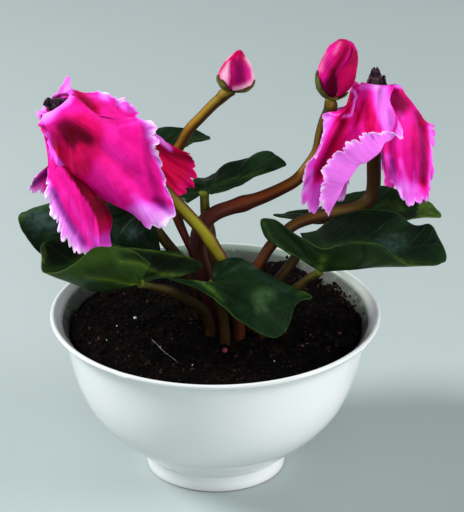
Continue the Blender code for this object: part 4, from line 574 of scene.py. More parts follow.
def line_distance(x, y, line):
    """How far each place is from a broken line."""
    best = np.full(np.shape(x), 1e9)
    for (ax, ay), (bx, by) in zip(line, line[1:]):
        length = max((bx - ax) ** 2 + (by - ay) ** 2, 1e-9)
        t = np.clip(((x - ax) * (bx - ax) + (y - ay) * (by - ay)) / length, 0, 1)
        best = np.minimum(best, np.hypot(x - ax - t * (bx - ax), y - ay - t * (by - ay)))
    return best


def within(x, y, outline):
    """Whether each place lies inside a closed outline."""
    inside = np.zeros(np.shape(x), bool)
    for (ax, ay), (bx, by) in zip(outline, outline[1:] + outline[:1]):
        if ay != by:
            inside ^= ((ay > y) != (by > y)) & (x < ax + (y - ay) * (bx - ax) / (by - ay))
    return inside


def painted(look, key, points, v):
    """The sum of a look's soft shapes under this key, placed as the camera sees them.

    Each is (kind, places as x, y, x, y and so on, softness, strength, first v, last v): a line
    fades to both sides, a crease falls away sharply, a patch fills its outline, and only keeps
    what went before it to its own outline."""
    x, y = seen(points)
    total = np.zeros(x.shape)
    for kind, numbers, soft, strength, *span in look.get(key, ()):
        places = list(zip(numbers[::2], numbers[1::2]))
        if kind in ("patch", "only"):
            away = line_distance(x, y, places + places[:1])
            mark = fade(np.where(within(x, y, places), away, -away), -soft, soft)
        elif kind == "crease":
            mark = np.exp(-line_distance(x, y, places) / soft)
        else:
            mark = bell(line_distance(x, y, places), soft)
        if span:
            first, last = span
            mark = mark * fade(v, first - 0.02, first + 0.02) * fade(-v, -last - 0.02, -last + 0.02)
        total = total * mark if kind == "only" else total + strength * mark
    return total


def normals_of(grid):
    """Unit normals of a grid of points; a first row that is one point takes its neighbour's."""
    along, across = np.gradient(grid, axis=0), np.gradient(grid, axis=1)
    normals = np.cross(across, along)
    size = np.linalg.norm(normals, axis=2, keepdims=True)
    normals = normals / np.maximum(size, 1e-12)
    if np.abs(grid[0] - grid[0, :1]).max() < 1e-9:
        normals[0] = normals[1].mean(axis=0) / max(np.linalg.norm(normals[1].mean(axis=0)), 1e-9)
    return normals


def ring_faces(rows, columns):
    """Quads of a grid of point numbers."""
    r, c = np.meshgrid(np.arange(rows - 1), np.arange(columns - 1), indexing="ij")
    low = (r * columns + c).ravel()
    return np.stack([low, low + 1, low + columns + 1, low + columns], axis=1)


def linked(name, data):
    """A new object in the scene for a mesh, a lamp or a camera."""
    thing = bpy.data.objects.new(name, data)
    bpy.context.scene.collection.objects.link(thing)
    return thing


def mesh_object(name, points, faces, uvs=None, marks=None):
    """A smooth mesh object from arrays; uvs and marks are given point by point."""
    mesh = bpy.data.meshes.new(name)
    mesh.from_pydata([tuple(p) for p in points], [], [tuple(int(i) for i in f) for f in faces])
    if uvs is not None:
        layer = mesh.uv_layers.new(name="UVMap")
        corners = np.zeros(len(mesh.loops), int)
        mesh.loops.foreach_get("vertex_index", corners)
        layer.data.foreach_set("uv", np.asarray(uvs, float)[corners].ravel())
    if marks is not None:
        layer = mesh.attributes.new("marks", "FLOAT_COLOR", "POINT")
        layer.data.foreach_set("color", np.asarray(marks, float).ravel())
    mesh.shade_smooth()
    return linked(name, mesh)


def blade(name, grid, thickness, marks, stretch=(1, 1), facing=None, paler=1):
    """A thin closed solid either side of a grid of points.

    marks has three values a point; a fourth is added, 0 on the upper side, which faces along
    facing, and paler on the under side."""
    rows, columns = grid.shape[:2]
    normals = normals_of(grid)
    half = normals * np.asarray(thickness)[..., None] / 2
    turned_over = facing is not None and (normals * facing).sum() < 0
    upper, under = (grid + half).reshape(-1, 3), (grid - half).reshape(-1, 3)
    count = rows * columns
    top = ring_faces(rows, columns)
    faces = [top, top[:, ::-1] + count]
    index = np.arange(count).reshape(rows, columns)
    border = np.concatenate([index[0], index[1:, -1], index[-1, -2::-1], index[-2:0:-1, 0]])
    after = np.roll(border, -1)
    faces.append(np.stack([after, border, border + count, after + count], axis=1))
    v, u = np.meshgrid(np.linspace(0, 1, rows), np.linspace(0, 1, columns), indexing="ij")
    uvs = np.stack([u * stretch[0], v * stretch[1]], axis=2).reshape(-1, 2)
    side = np.concatenate([np.zeros(count), np.ones(count)])
    if turned_over:
        side = 1 - side
    marks = np.column_stack([np.concatenate([marks.reshape(-1, 3)] * 2), side * paler])
    return mesh_object(name, np.concatenate([upper, under]), np.concatenate(faces),
                       np.concatenate([uvs, uvs]), marks)


def seal(thing):
    """Merges what lies in one place, such as a blade's two side edges or its centre."""
    work = bmesh.new()
    work.from_mesh(thing.data)
    bmesh.ops.remove_doubles(work, verts=work.verts, dist=SAME_PLACE)
    bmesh.ops.dissolve_degenerate(work, dist=SAME_PLACE / 10, edges=work.edges)
    work.to_mesh(thing.data)
    work.free()
    return thing


def join(name, things):
    """One object from several."""
    bpy.ops.object.select_all(action="DESELECT")
    for thing in things:
        thing.select_set(True)
    bpy.context.view_layer.objects.active = things[0]
    if len(things) > 1:
        bpy.ops.object.join()
    things[0].name = name
    things[0].data.name = name
    return things[0]


def settle(thing, finish, slot, *nodes):
    """Gives a finished piece its material, its body and the CAD nodes that it stands for."""
    thing.data.materials.clear()
    thing.data.materials.append(finish)
    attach(thing, "root")
    if nodes:
        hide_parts(*nodes)
    return thing


class Finish:
    """A material under way: each call adds a node and gives back its outlet."""

    def __init__(self, name, roughness=0.5, **fixed):
        self.material = bpy.data.materials.new(name)
        self.material.use_nodes = True
        self.nodes = self.material.node_tree.nodes
        self.links = self.material.node_tree.links
        self.shader = self.nodes["Principled BSDF"]
        self.shader.inputs["Roughness"].default_value = roughness
        for socket, value in fixed.items():
            self.shader.inputs[socket.replace("_", " ")].default_value = value

    def feed(self, socket, value):
        if isinstance(value, bpy.types.NodeSocket):
            self.links.new(value, socket)
        elif isinstance(value, tuple) and len(value) == 3 and socket.type == "RGBA":
            socket.default_value = (*value, 1.0)
        else:
            socket.default_value = value

    def put(self, kind, outlet, *values, **settings):
        node = self.nodes.new("ShaderNode" + kind)
        for key, value in settings.items():
            setattr(node, key, value)
        for socket, value in zip(node.inputs, values):
            if value is not None:
                self.feed(socket, value)
        return node.outputs[outlet]

    def object_place(self):
        return self.put("TexCoord", "Object")

    def surface_place(self):
        return self.put("TexCoord", "UV")

    def parts(self, vector):
        split = self.nodes.new("ShaderNodeSeparateXYZ")
        self.feed(split.inputs[0], vector)
        return split.outputs[0], split.outputs[1], split.outputs[2]

    def marks(self):
        """The four painted values of a point."""
        paint = self.nodes.new("ShaderNodeAttribute")
        paint.attribute_name = "marks"
        split = self.nodes.new("ShaderNodeSeparateColor")
        self.links.new(paint.outputs["Color"], split.inputs[0])
        return (*split.outputs[:3], paint.outputs["Alpha"])

    def stretched(self, vector, scale):
        return self.put("Mapping", 0, vector, None, None, scale)

    def noise(self, vector, scale, detail=3.0, rough=0.55, twist=0.0):
        node = self.nodes.new("ShaderNodeTexNoise")
        for key, value in (("Vector", vector), ("Scale", scale), ("Detail", detail),
                           ("Roughness", rough), ("Distortion", twist)):
            self.feed(node.inputs[key], value)
        return node.outputs["Fac"]

    def cells(self, vector, scale):
        """How far a place is from the nearest wall of a net of cells."""
        node = self.nodes.new("ShaderNodeTexVoronoi")
        node.feature = "DISTANCE_TO_EDGE"
        self.feed(node.inputs["Vector"], vector)
        self.feed(node.inputs["Scale"], scale)
        return node.outputs["Distance"]

    def maths(self, operation, *values):
        return self.put("Math", 0, *values, operation=operation)

    def times(self, first, second, *more):
        """first x second, and more added where it is given."""
        return self.maths("MULTIPLY_ADD" if more else "MULTIPLY", first, second, *more)

    def span(self, value, low, high, start=0.0, stop=1.0):
        """The value's place between low and high, held at both ends and smoothed."""
        node = self.nodes.new("ShaderNodeMapRange")
        node.interpolation_type = "SMOOTHSTEP"
        for socket, number in zip(node.inputs, (value, low, high, start, stop)):
            self.feed(socket, number)
        return node.outputs[0]

    def ramp(self, value, *stops):
        node = self.nodes.new("ShaderNodeValToRGB")
        band = node.color_ramp
        ends = band.elements[0], band.elements[1]
        for element, (place, colour) in zip(ends, (stops[0], stops[-1])):
            element.position = place
            element.color = (*colour, 1.0)
        for place, colour in stops[1:-1]:
            band.elements.new(place).color = (*colour, 1.0)
        self.feed(node.inputs[0], value)
        return node.outputs[0]

    def blend(self, share, first, second, way="MIX"):
        node = self.nodes.new("ShaderNodeMix")
        node.data_type = "RGBA"
        node.blend_type = way
        for socket, value in ((0, share), (6, first), (7, second)):
            self.feed(node.inputs[socket], value)
        return node.outputs[2]

    def bump(self, height, strength, distance, under=None):
        node = self.nodes.new("ShaderNodeBump")
        self.feed(node.inputs["Strength"], strength)
        self.feed(node.inputs["Distance"], distance)
        self.feed(node.inputs["Height"], height)
        if under is not None:
            self.feed(node.inputs["Normal"], under)
        return node.outputs[0]

    def done(self, colour, normal, roughness=None):
        self.feed(self.shader.inputs["Base Color"], colour)
        self.feed(self.shader.inputs["Normal"], normal)
        if roughness is not None:
            self.feed(self.shader.inputs["Roughness"], roughness)
        return self.material


def porcelain_finish():
    """White glaze with a cool cast and faint waves, greyed in places by painted shade; the flare inside
    the lip is painted in shade, and the wall over the soil carries soil smearing and painted shade.
    """
    glaze = Finish("porcelain", 0.16)
    place = glaze.object_place()
    x, y, z = glaze.parts(place)
    # Painted shade: the glaze is greyer towards the bowl's left side.
    white = glaze.blend(glaze.span(x, -0.045, 0.045), (0.63, 0.665, 0.66), (0.77, 0.795, 0.79))
    white = glaze.blend(glaze.times(glaze.noise(place, 22, 2), 0.3), white, (0.76, 0.78, 0.775))
    # Painted shade: the top of the lip is greyer, which tones down the light that falls on it.
    white = glaze.blend(glaze.span(z, 0.0600, 0.0618, 0, 0.55), white, (0.50, 0.53, 0.52))
    wall, flare, _, _ = glaze.marks()
    # Painted shade: the flare inside the lip darkens, most at the back, where the plant shades it.
    flare_shade = glaze.blend(glaze.noise(place, 45, 3), (0.13, 0.19, 0.145), (0.24, 0.31, 0.26))
    far = glaze.span(y, 0.0, 0.046, 0.12, 1.0)
    colour = glaze.blend(glaze.times(flare, far), white, flare_shade)
    # The wall over the soil: soil smearing and painted shade, more of both towards the back.
    smear_and_shade_pattern = glaze.noise(glaze.stretched(place, (1, 1, 0.45)), 85, 5, 0.65, 0.7)
    back = glaze.span(y, -0.040, 0.030, 0.10, -0.04)
    smear_and_shade_share = glaze.span(glaze.maths("SUBTRACT", smear_and_shade_pattern, back), 0.34, 0.56)
    smear_and_shade_colour = glaze.blend(smear_and_shade_share, (0.12, 0.17, 0.125), (0.021, 0.035, 0.021))
    colour = glaze.blend(wall, colour, smear_and_shade_colour)
    # The wall goes near-black towards the soil and in patches on it.
    near_soil = glaze.times(glaze.span(z, 0.0580, 0.0562), wall)
    patches = glaze.span(glaze.noise(place, 140, 4, 0.6), 0.40, 0.56)
    wall_darkening = glaze.maths("MAXIMUM", near_soil, glaze.times(glaze.times(patches, wall),
                                                   glaze.span(z, 0.0598, 0.0575)))
    colour = glaze.blend(glaze.times(wall_darkening, 0.85), colour, (0.012, 0.012, 0.009))
    unglazed = glaze.span(z, 0.0009, 0.0003)
    colour = glaze.blend(unglazed, colour, (0.30, 0.28, 0.25))
    rough = glaze.times(glaze.maths("MAXIMUM", wall, unglazed), 0.55, 0.13)
    waves = glaze.bump(glaze.noise(place, 38, 1), 0.06, 0.002)
    return glaze.done(colour, waves, rough)


def soil_finish():
    ground = Finish("soil", 0.9, Specular_IOR_Level=0.03)
    place = ground.object_place()
    broad = ground.noise(place, 120, 4, 0.6)
    fine = ground.noise(place, 700, 5, 0.7)
    colour = ground.ramp(ground.times(fine, 0.6, ground.times(broad, 0.4)),
                         (0.36, (0.0008, 0.0008, 0.0008)), (0.50, (0.0016, 0.0012, 0.0011)),
                         (0.60, (0.006, 0.0036, 0.0030)), (0.72, (0.040, 0.021, 0.018)))
    grain = ground.bump(fine, 0.9, 0.0012)
    return ground.done(colour, ground.bump(broad, 0.6, 0.003, grain))


def crumb_finish():
    crumb = Finish("soil_crumbs", 0.85, Specular_IOR_Level=0.03)
    place = crumb.object_place()
    colour = crumb.ramp(crumb.noise(place, 260, 2),
                        (0.34, (0.0015, 0.0012, 0.0012)), (0.50, (0.005, 0.0032, 0.0028)),
                        (0.61, (0.018, 0.009, 0.008)), (0.72, (0.075, 0.036, 0.031)))
    return crumb.done(colour, crumb.bump(crumb.noise(place, 1500, 3), 0.6, 0.0005))


def plain_bit_finish(name, light, dark, rough):
    """A small bit on the soil, mottled between two colours."""
    bit = Finish(name, rough, Specular_IOR_Level=0.2)
    place = bit.object_place()
    tone = bit.noise(place, 900, 4, 0.6)
    return bit.done(bit.blend(tone, dark, light), bit.bump(tone, 0.5, 0.0006))


def leaf_finish(name, dark, light, under, lime, vein, mottling_and_shine_colour, gloss):
    """A waxy blade: veins run out from the joint with side veins off them, between soft mottles.

    marks: red lightens to yellow-green, for midribs, joints, pale spots and painted highlights; green
    is blue-grey mottling with painted shine; blue darkens, as painted shade."""
    leaf = Finish(name, gloss, Specular_IOR_Level=0.05)
    place = leaf.object_place()
    u, v, _ = leaf.parts(leaf.surface_place())
    pale, mottling_and_shine_mark, painted_leaf_shade, side = leaf.marks()
    bent = leaf.times(leaf.noise(place, 60, 2), 0.05, leaf.maths("SUBTRACT", u, 0.025))
    lane = leaf.times(leaf.maths("PINGPONG", leaf.times(bent, VEIN_LANES), 0.5), 2)
    aside = leaf.maths("SUBTRACT", 1.0, lane)
    run = leaf.times(aside, v)
    main = leaf.span(run, leaf.times(v, -0.035, 0.06), 0.012)
    slant = leaf.times(aside, -0.30, v)
    slant = leaf.times(leaf.noise(place, 140, 2), 0.035, slant)
    branch = leaf.maths("PINGPONG", leaf.times(slant, 7.5), 0.5)
    twig = leaf.times(leaf.span(branch, 0.055, 0.015), leaf.span(v, 0.15, 0.3))
    net = leaf.span(leaf.cells(place, 330), 0.06, 0.0)
    veins = leaf.maths("MAXIMUM", main, leaf.times(twig, 0.5))
    veins = leaf.maths("MAXIMUM", veins, leaf.times(net, 0.14))
    tone = leaf.span(leaf.noise(place, 75, 4, 0.6), 0.35, 0.7)
    colour = leaf.blend(tone, dark, light)
    colour = leaf.blend(leaf.times(side, 0.75), colour, under)
    colour = leaf.blend(leaf.times(veins, 0.28), colour, vein)
    # Yellow-green for midribs, joints and pale spots, and painted highlights along margins, folds and lit
    # faces.
    blotch = leaf.span(leaf.noise(place, 260, 4, 0.65), 0.36, 0.58, 0.45, 1.1)
    colour = leaf.blend(leaf.times(pale, blotch), colour, lime)
    # Blue-grey mottling, with painted shine where the gloss catches the lamps.
    speckle = leaf.span(leaf.noise(place, 520, 4, 0.7), 0.40, 0.62)
    mottling_and_shine_share = leaf.times(mottling_and_shine_mark, leaf.times(speckle, 0.7, 0.3))
    colour = leaf.blend(mottling_and_shine_share, colour, mottling_and_shine_colour)
    # Painted shade in the hollows of the blade and where the flowers shade it.
    colour = leaf.blend(painted_leaf_shade, colour, (0.0016, 0.0028, 0.0022))
    # A thin lime margin: painted highlight where the edge catches the light.
    rim = leaf.times(leaf.span(v, 0.978, 0.994), leaf.span(leaf.noise(place, 55, 2), 0.36, 0.58))
    colour = leaf.blend(leaf.times(rim, 0.42), colour, lime)
    rough = leaf.times(leaf.noise(place, 500, 3), 0.16, gloss - 0.06)
    height = leaf.times(veins, -0.5, leaf.times(tone, 0.25))
    skin = leaf.bump(height, 0.45, 0.0010)
    skin = leaf.bump(leaf.noise(place, 1300, 2), 0.10, 0.0004, skin)
    return leaf.done(colour, skin, rough)


def stem_finish(name, stops, lit_stops, ruddy, share):
    """Smooth stem skin: painted shade at its sides, painted light where it turns to the front and up, fine
    streaks.
    """
    stem = Finish(name, 0.42, Specular_IOR_Level=0.05)
    _, v, _ = stem.parts(stem.surface_place())
    place = stem.object_place()
    along = stem.times(stem.noise(place, 90, 3), 0.10, stem.maths("SUBTRACT", v, 0.05))
    lit = stem.span(stem.marks()[0], 0.42, 0.98)
    colour = stem.blend(lit, stem.ramp(along, *stops), stem.ramp(along, *lit_stops))
    streaks = stem.noise(stem.stretched(stem.surface_place(), (26, 2.2, 1)), 1.0, 3, 0.6)
    flush = stem.times(stem.span(streaks, 0.40, 0.62), share)
    colour = stem.blend(flush, colour, ruddy)
    freckles = stem.span(stem.noise(place, 900, 2), 0.60, 0.72)
    colour = stem.blend(stem.times(freckles, 0.3), colour, (0.05, 0.012, 0.008))
    return stem.done(colour, stem.bump(streaks, 0.18, 0.0006))


def petal_finish():
    """Thin silky petal: veins run down it, over pink that pales to lilac at the fringe.

    marks: red is painted shade and then the dark eye, green the lilac, blue the crimson; the under side
    is paler. A faint glow in the petal's own colour is painted light."""
    petal = Finish("petal", 0.6, Specular_IOR_Level=0.04)
    dark, lilac, red, side = petal.marks()
    place = petal.object_place()
    lines = petal.noise(petal.stretched(petal.surface_place(), (1.0, 0.055, 1)), 46, 3, 0.6, 0.15)
    fine = petal.noise(petal.stretched(petal.surface_place(), (1.0, 0.05, 1)), 120, 2, 0.6)
    cloud = petal.noise(place, 85, 3, 0.6)
    pink = petal.blend(petal.span(cloud, 0.35, 0.68), (0.70, 0.004, 0.235), (0.86, 0.014, 0.35))
    crimson = petal.blend(petal.span(cloud, 0.35, 0.65), (0.50, 0.0008, 0.075), (0.70, 0.002, 0.13))
    colour = petal.blend(petal.span(red, 0.0, 0.65), pink, crimson)
    colour = petal.blend(petal.span(red, 0.65, 1.0), colour, (0.50, 0.0005, 0.042))
    patchy = petal.times(petal.maths("SUBTRACT", lines, 0.5), 0.25, lilac)
    pale = petal.ramp(patchy, (0.0, (0.88, 0.020, 0.45)), (0.3, (0.80, 0.065, 0.64)),
                      (0.6, (0.82, 0.19, 0.83)), (0.85, (0.84, 0.36, 0.88)), (1.0, (0.88, 0.64, 0.93)))
    colour = petal.blend(petal.span(patchy, 0.05, 0.32), colour, pale)
    dark_vein = petal.span(lines, 0.56, 0.72)
    dark_vein = petal.times(dark_vein, petal.span(lilac, 0.9, 0.2, 0.12, 0.42))
    colour = petal.blend(dark_vein, colour, (0.42, 0.0006, 0.10))
    light_vein = petal.times(petal.span(fine, 0.56, 0.70), 0.10)
    colour = petal.blend(light_vein, colour, (0.92, 0.10, 0.58))
    under = petal.blend(petal.span(lilac, 0.1, 0.9), (0.86, 0.055, 0.50), (0.88, 0.38, 0.90))
    colour = petal.blend(petal.times(side, 0.7), colour, under)
    # The red mark darkens: painted shade first, then the dark eye, nearly black.
    eye_and_shade = petal.times(dark, petal.span(lines, 0.25, 0.62, 0.88, 1.05))
    shaded = petal.blend(1.0, colour, (0.24, 0.12, 0.27), "MULTIPLY")
    colour = petal.blend(petal.span(eye_and_shade, 0.0, 0.55), colour, shaded)
    colour = petal.blend(petal.span(eye_and_shade, 0.40, 0.95), colour, (0.085, 0.0002, 0.0065))
    ribs = petal.bump(lines, 0.12, 0.0010)
    skin = petal.bump(petal.noise(place, 1100, 2), 0.12, 0.0004, ribs)
    # A faint glow in the petal's own colour: painted light standing for light shining through the petals.
    petal.feed(petal.shader.inputs["Emission Color"], colour)
    petal.shader.inputs["Emission Strength"].default_value = 0.07
    return petal.done(colour, skin)


def bud_finish():
    """Furled petals: marks are painted shade, pale streaks, some of them painted highlights, and red, over
    streaked pink.
    """
    bud = Finish("bud_petal", 0.55, Specular_IOR_Level=0.03)
    painted_shade, pale, red, _ = bud.marks()
    place = bud.object_place()
    lines = bud.noise(bud.stretched(bud.surface_place(), (1.0, 0.06, 1)), 30, 3, 0.6, 0.1)
    pink = bud.blend(bud.span(lines, 0.35, 0.65), (0.44, 0.001, 0.14), (0.60, 0.006, 0.22))
    colour = bud.blend(red, pink, (0.36, 0.0003, 0.042))
    colour = bud.blend(pale, colour, (0.84, 0.46, 0.62))
    shaded = bud.blend(1.0, colour, (0.20, 0.06, 0.18), "MULTIPLY")
    colour = bud.blend(bud.span(painted_shade, 0.0, 0.5), colour, shaded)
    skin = bud.bump(lines, 0.3, 0.0010)
    return bud.done(colour, bud.bump(bud.noise(place, 1200, 2), 0.12, 0.0004, skin))


def sepal_finish():
    sepal = Finish("sepal", 0.45, Specular_IOR_Level=0.10)
    _, v, _ = sepal.parts(sepal.surface_place())
    place = sepal.object_place()
    tone = sepal.noise(place, 260, 4, 0.6)
    colour = sepal.ramp(tone, (0.32, (0.018, 0.022, 0.002)), (0.52, (0.065, 0.068, 0.007)),
                        (0.70, (0.15, 0.15, 0.026)))
    tip = sepal.times(sepal.span(v, 0.75, 1.0), 0.7)
    colour = sepal.blend(tip, colour, (0.045, 0.018, 0.006))
    return sepal.done(colour, sepal.bump(tone, 0.4, 0.0008))


def withered_finish():
    dry = Finish("withered", 0.75, Specular_IOR_Level=0.08)
    place = dry.object_place()
    tone = dry.noise(place, 420, 5, 0.65)
    colour = dry.ramp(tone, (0.34, (0.010, 0.005, 0.010)), (0.52, (0.034, 0.018, 0.030)),
                      (0.68, (0.17, 0.100, 0.085)))
    return dry.done(colour, dry.bump(tone, 0.9, 0.0012))


def floor_finish():
    paper = Finish("floor", 0.85)
    place = paper.object_place()
    tone = paper.blend(paper.noise(place, 9, 3), (0.325, 0.380, 0.380), (0.343, 0.400, 0.400))
    return paper.done(tone, paper.bump(paper.noise(place, 900, 2), 0.05, 0.0004))


def turned(name, outline, steps):
    """A closed body of revolution about the bowl's axis, spun from an outline of (radius, height)."""
    mesh = bpy.data.meshes.new(name)
    points = [((BOWL_X + radius) * MM, 0, height * MM) for radius, height in outline]
    mesh.from_pydata(points, [(i, i + 1) for i in range(len(points) - 1)], [])
    thing = linked(name, mesh)
    bpy.ops.object.select_all(action="DESELECT")
    thing.select_set(True)
    bpy.context.view_layer.objects.active = thing
    bpy.ops.object.mode_set(mode="EDIT")
    bpy.ops.mesh.select_all(action="SELECT")
    bpy.ops.mesh.spin(steps=steps, angle=math.tau, center=(BOWL_X * MM, 0, 0), axis=(0, 0, 1))
    bpy.ops.mesh.select_all(action="SELECT")
    bpy.ops.mesh.remove_doubles(threshold=SAME_PLACE)
    bpy.ops.mesh.normals_make_consistent(inside=False)
    bpy.ops.object.mode_set(mode="OBJECT")
    bpy.ops.object.shade_smooth_by_angle(angle=math.radians(38))
    return thing


def make_bowl():
    """The bowl: recessed foot, crease, round body, flared rim with a rolled lip."""
    foot = [(0, 3.0), (12, 3.0), (21.0, 3.0), (22.0, 2.6), (22.4, 0.5), (22.8, 0.05), (23.2, 0.0),
            (24.9, 0.0), (25.4, 0.15), (25.65, 0.6), (25.8, 3.0), (25.75, 5.6), (25.9, 6.3)]
    wall = [(26.3, 6.6), (29.5, 9.4), (34.1, 13.8), (39.3, 18.2), (43.6, 22.9), (46.9, 27.6),
            (49.2, 32.3), (51.1, 37.5), (52.5, 43), (53.7, 48.5), (54.7, 53), (55.6, 55.8),
            (57.0, 57.8), (58.8, 59.2), (59.7, 60.0), (60.0, 60.7), (59.7, 61.25), (59.0, 61.4),
            (58.4, 61.1), (57.5, 60.3), (56.0, 58.6), (54.3, 56.6), (53.0, 53.6), (51.6, 48.8),
            (47.0, 33.2)]
    floor = [(40.6, 22.9), (32, 14.9), (20, 8.7), (8, 7.1), (0, 7.0)]
    outline = foot + [tuple(p) for p in at(wall, np.arange(0, len(wall) - 0.9, 0.4))] + floor
    bowl = turned("bowl_glazed", outline, 220)
    for nick in ((-123.5, 0.55, 0.9), (-121.2, 0.35, 0.7), (-29.5, 0.55, 1.0), (-27.6, 0.45, 0.6)):
        chip(bowl, *nick)
    paint_inside(bowl)
    return settle(bowl, porcelain_finish(), "porcelain", "bowl")


def paint_inside(bowl):
    """Marks the inner wall, for soil smearing and painted shade, and above it the flare inside the lip, which
    the finish paints in shade.
    """
    layer = bowl.data.attributes.new("marks", "FLOAT_COLOR", "POINT")
    for corner, mark in zip(bowl.data.vertices, layer.data):
        x, y, z = corner.co.x / MM - BOWL_X, corner.co.y / MM, corner.co.z / MM
        out = math.hypot(x, y)
        inward = -(corner.normal.x * x + corner.normal.y * y) / max(out, 1.0)
        inner = inward > 0.15 and z > 12
        smear_and_shade_top = 56.3 + 1.3 * min(1.0, max(0.0, y / 35))
        wall, flare = [min(1.0, max(0.0, share)) for share in (smear_and_shade_top - out, 59.3 - out)]
        mark.color = (wall, flare, 0.0, 0.0) if inner else (0.0, 0.0, 0.0, 0.0)


def chip(bowl, angle, depth, wide):
    """A shallow nick in the lip at this angle round it."""
    turn = math.radians(angle)
    spot_x, spot_y, _ = row_place((LIP_RADIUS * math.cos(turn), LIP_RADIUS * math.sin(turn), 0))
    for corner in bowl.data.vertices:
        x, y, z = corner.co
        if z > 0.0596:
            away = math.hypot(x - spot_x, y - spot_y) / (wide * MM)
            corner.co.z -= depth * MM * math.exp(-away ** 2)


# Where every stem enters the soil
FEET = [route[-3:-1] for route in [route for _, route in STALKS.values()] + list(PETIOLES.values())]


def soil_height(x, y):
    """The soil's level at a place: crumbly, heaped at the stems and the back right, sunk at the wall."""
    level = SOIL_LEVEL + 0.45 * math.sin(0.42 * x + 1.3) * math.cos(0.37 * y)
    level += 1.1 * noise.fractal(Vector((x, y, 0)) * 0.11, 0.8, 2.1, 3)
    level += 0.75 * abs(noise.noise(Vector((x, y, 3)) * 0.55))
    level += 0.45 * noise.noise(Vector((x, y, 7)) * 1.3)
    for foot_x, foot_y in FEET:
        level += 0.9 * math.exp(-(math.hypot(x - foot_x, y - foot_y) / 4.5) ** 2)
    level += 4.5 * math.exp(-((x - 27) / 9) ** 2) * min(max((y - 30) / 14, 0.0), 1.0)
    return level - 0.8 * max(0.0, (math.hypot(x, y) - 47) / 6)


def make_soil():
    bpy.ops.object.select_all(action="DESELECT")
    bpy.ops.mesh.primitive_grid_add(x_subdivisions=200, y_subdivisions=200, size=0.1068,
                                    location=(BOWL_X * MM, 0, SOIL_LEVEL * MM))
    soil = bpy.context.object
    bpy.ops.object.transform_apply(location=True)
    bpy.ops.object.mode_set(mode="EDIT")
    bpy.ops.mesh.select_all(action="DESELECT")
    work = bmesh.from_edit_mesh(soil.data)
    for corner in work.verts:
        if math.hypot(corner.co.x / MM - BOWL_X, corner.co.y / MM) > SOIL_RADIUS:
            corner.select_set(True)
    bmesh.update_edit_mesh(soil.data)
    bpy.ops.mesh.delete(type="VERT")
    bpy.ops.mesh.select_all(action="DESELECT")
    bpy.ops.mesh.select_mode(type="EDGE")
    bpy.ops.mesh.select_non_manifold()
    bpy.ops.mesh.extrude_region_move(TRANSFORM_OT_translate={"value": (0, 0, -0.009)})
    bpy.ops.transform.resize(value=(0.95, 0.95, 1), center_override=(BOWL_X * MM, 0, 0.047))
    bpy.ops.mesh.edge_face_add()
    bpy.ops.mesh.select_all(action="SELECT")
    bpy.ops.mesh.normals_make_consistent(inside=False)
    bpy.ops.object.mode_set(mode="OBJECT")
    for corner in soil.data.vertices:
        if corner.co.z > (SOIL_LEVEL - 1) * MM:
            x, y = corner.co.x / MM - BOWL_X, corner.co.y / MM
            corner.co.z = soil_height(x, y) * MM
    soil.name = "soil_surface"
    soil.data.shade_smooth()
    return settle(soil, soil_finish(), "soil", "soil")


def small_ball(detail):
    """Points and faces of a small round primitive, to be copied."""
    bpy.ops.object.select_all(action="DESELECT")
    bpy.ops.mesh.primitive_ico_sphere_add(subdivisions=detail, radius=1)
    ball = bpy.context.object
    points = np.array([corner.co for corner in ball.data.vertices])
    faces = [tuple(face.vertices) for face in ball.data.polygons]
    bpy.data.objects.remove(ball)
    return points, faces


def turn_about(rng):
    """A random rotation matrix."""
    return np.array(Quaternion(rng.normal(size=4)).normalized().to_matrix())


def scatter(name, places, sizes, rng, detail=1):
    """Copies of a rough lump, one at each place on the soil, each of its own shape and turn.

    The coarsest lumps keep flat faces."""
    shape, faces = small_ball(detail)
    points, all_faces = [], []
    for (x, y, lift), size in zip(places, sizes):
        lump = shape * rng.uniform(0.65, 1.35, size=(len(shape), 1)) * size
        lump = lump @ turn_about(rng)
        height = soil_height(x, y) + lift
        start = len(points)
        points.extend(row_place(lump + (x, y, height)))
        all_faces.extend(tuple(i + start for i in face) for face in faces)
    thing = mesh_object(name, points, all_faces)
    if detail == 1:
        thing.data.shade_flat()
    return thing


def make_crumbs():
    rng = np.random.default_rng(11)
    places, sizes = [], []
    while len(places) < 2700:
        x, y = rng.uniform(-53, 53, 2)
        if math.hypot(x, y) < 52.6:
            big = rng.uniform() ** 4
            size = 0.18 + 0.75 * big
            long = rng.uniform() < 0.16
            sizes.append(np.array([size * 0.4, size * 0.4, size * 2.6]) if long
                         else np.full(3, size))
            places.append((x, y, 0.15 * size))
    return settle(scatter("soil_crumbs", places, sizes, rng), crumb_finish(), "soil")


def make_splashes():
    """Soil thrown up on the wall at the back right."""
    rng = np.random.default_rng(5)
    places, sizes = [], []
    for _ in range(150):
        turn = math.radians(rng.normal(36, 13))
        out = rng.uniform(50.5, 54.4)
        rise = max(0.0, (out - 52.6) * 1.15)
        places.append((out * math.cos(turn), out * math.sin(turn), rise))
        sizes.append(np.full(3, rng.uniform(0.2, 0.75)))
    return settle(scatter("soil_splashes", places, sizes, rng), crumb_finish(), "soil")


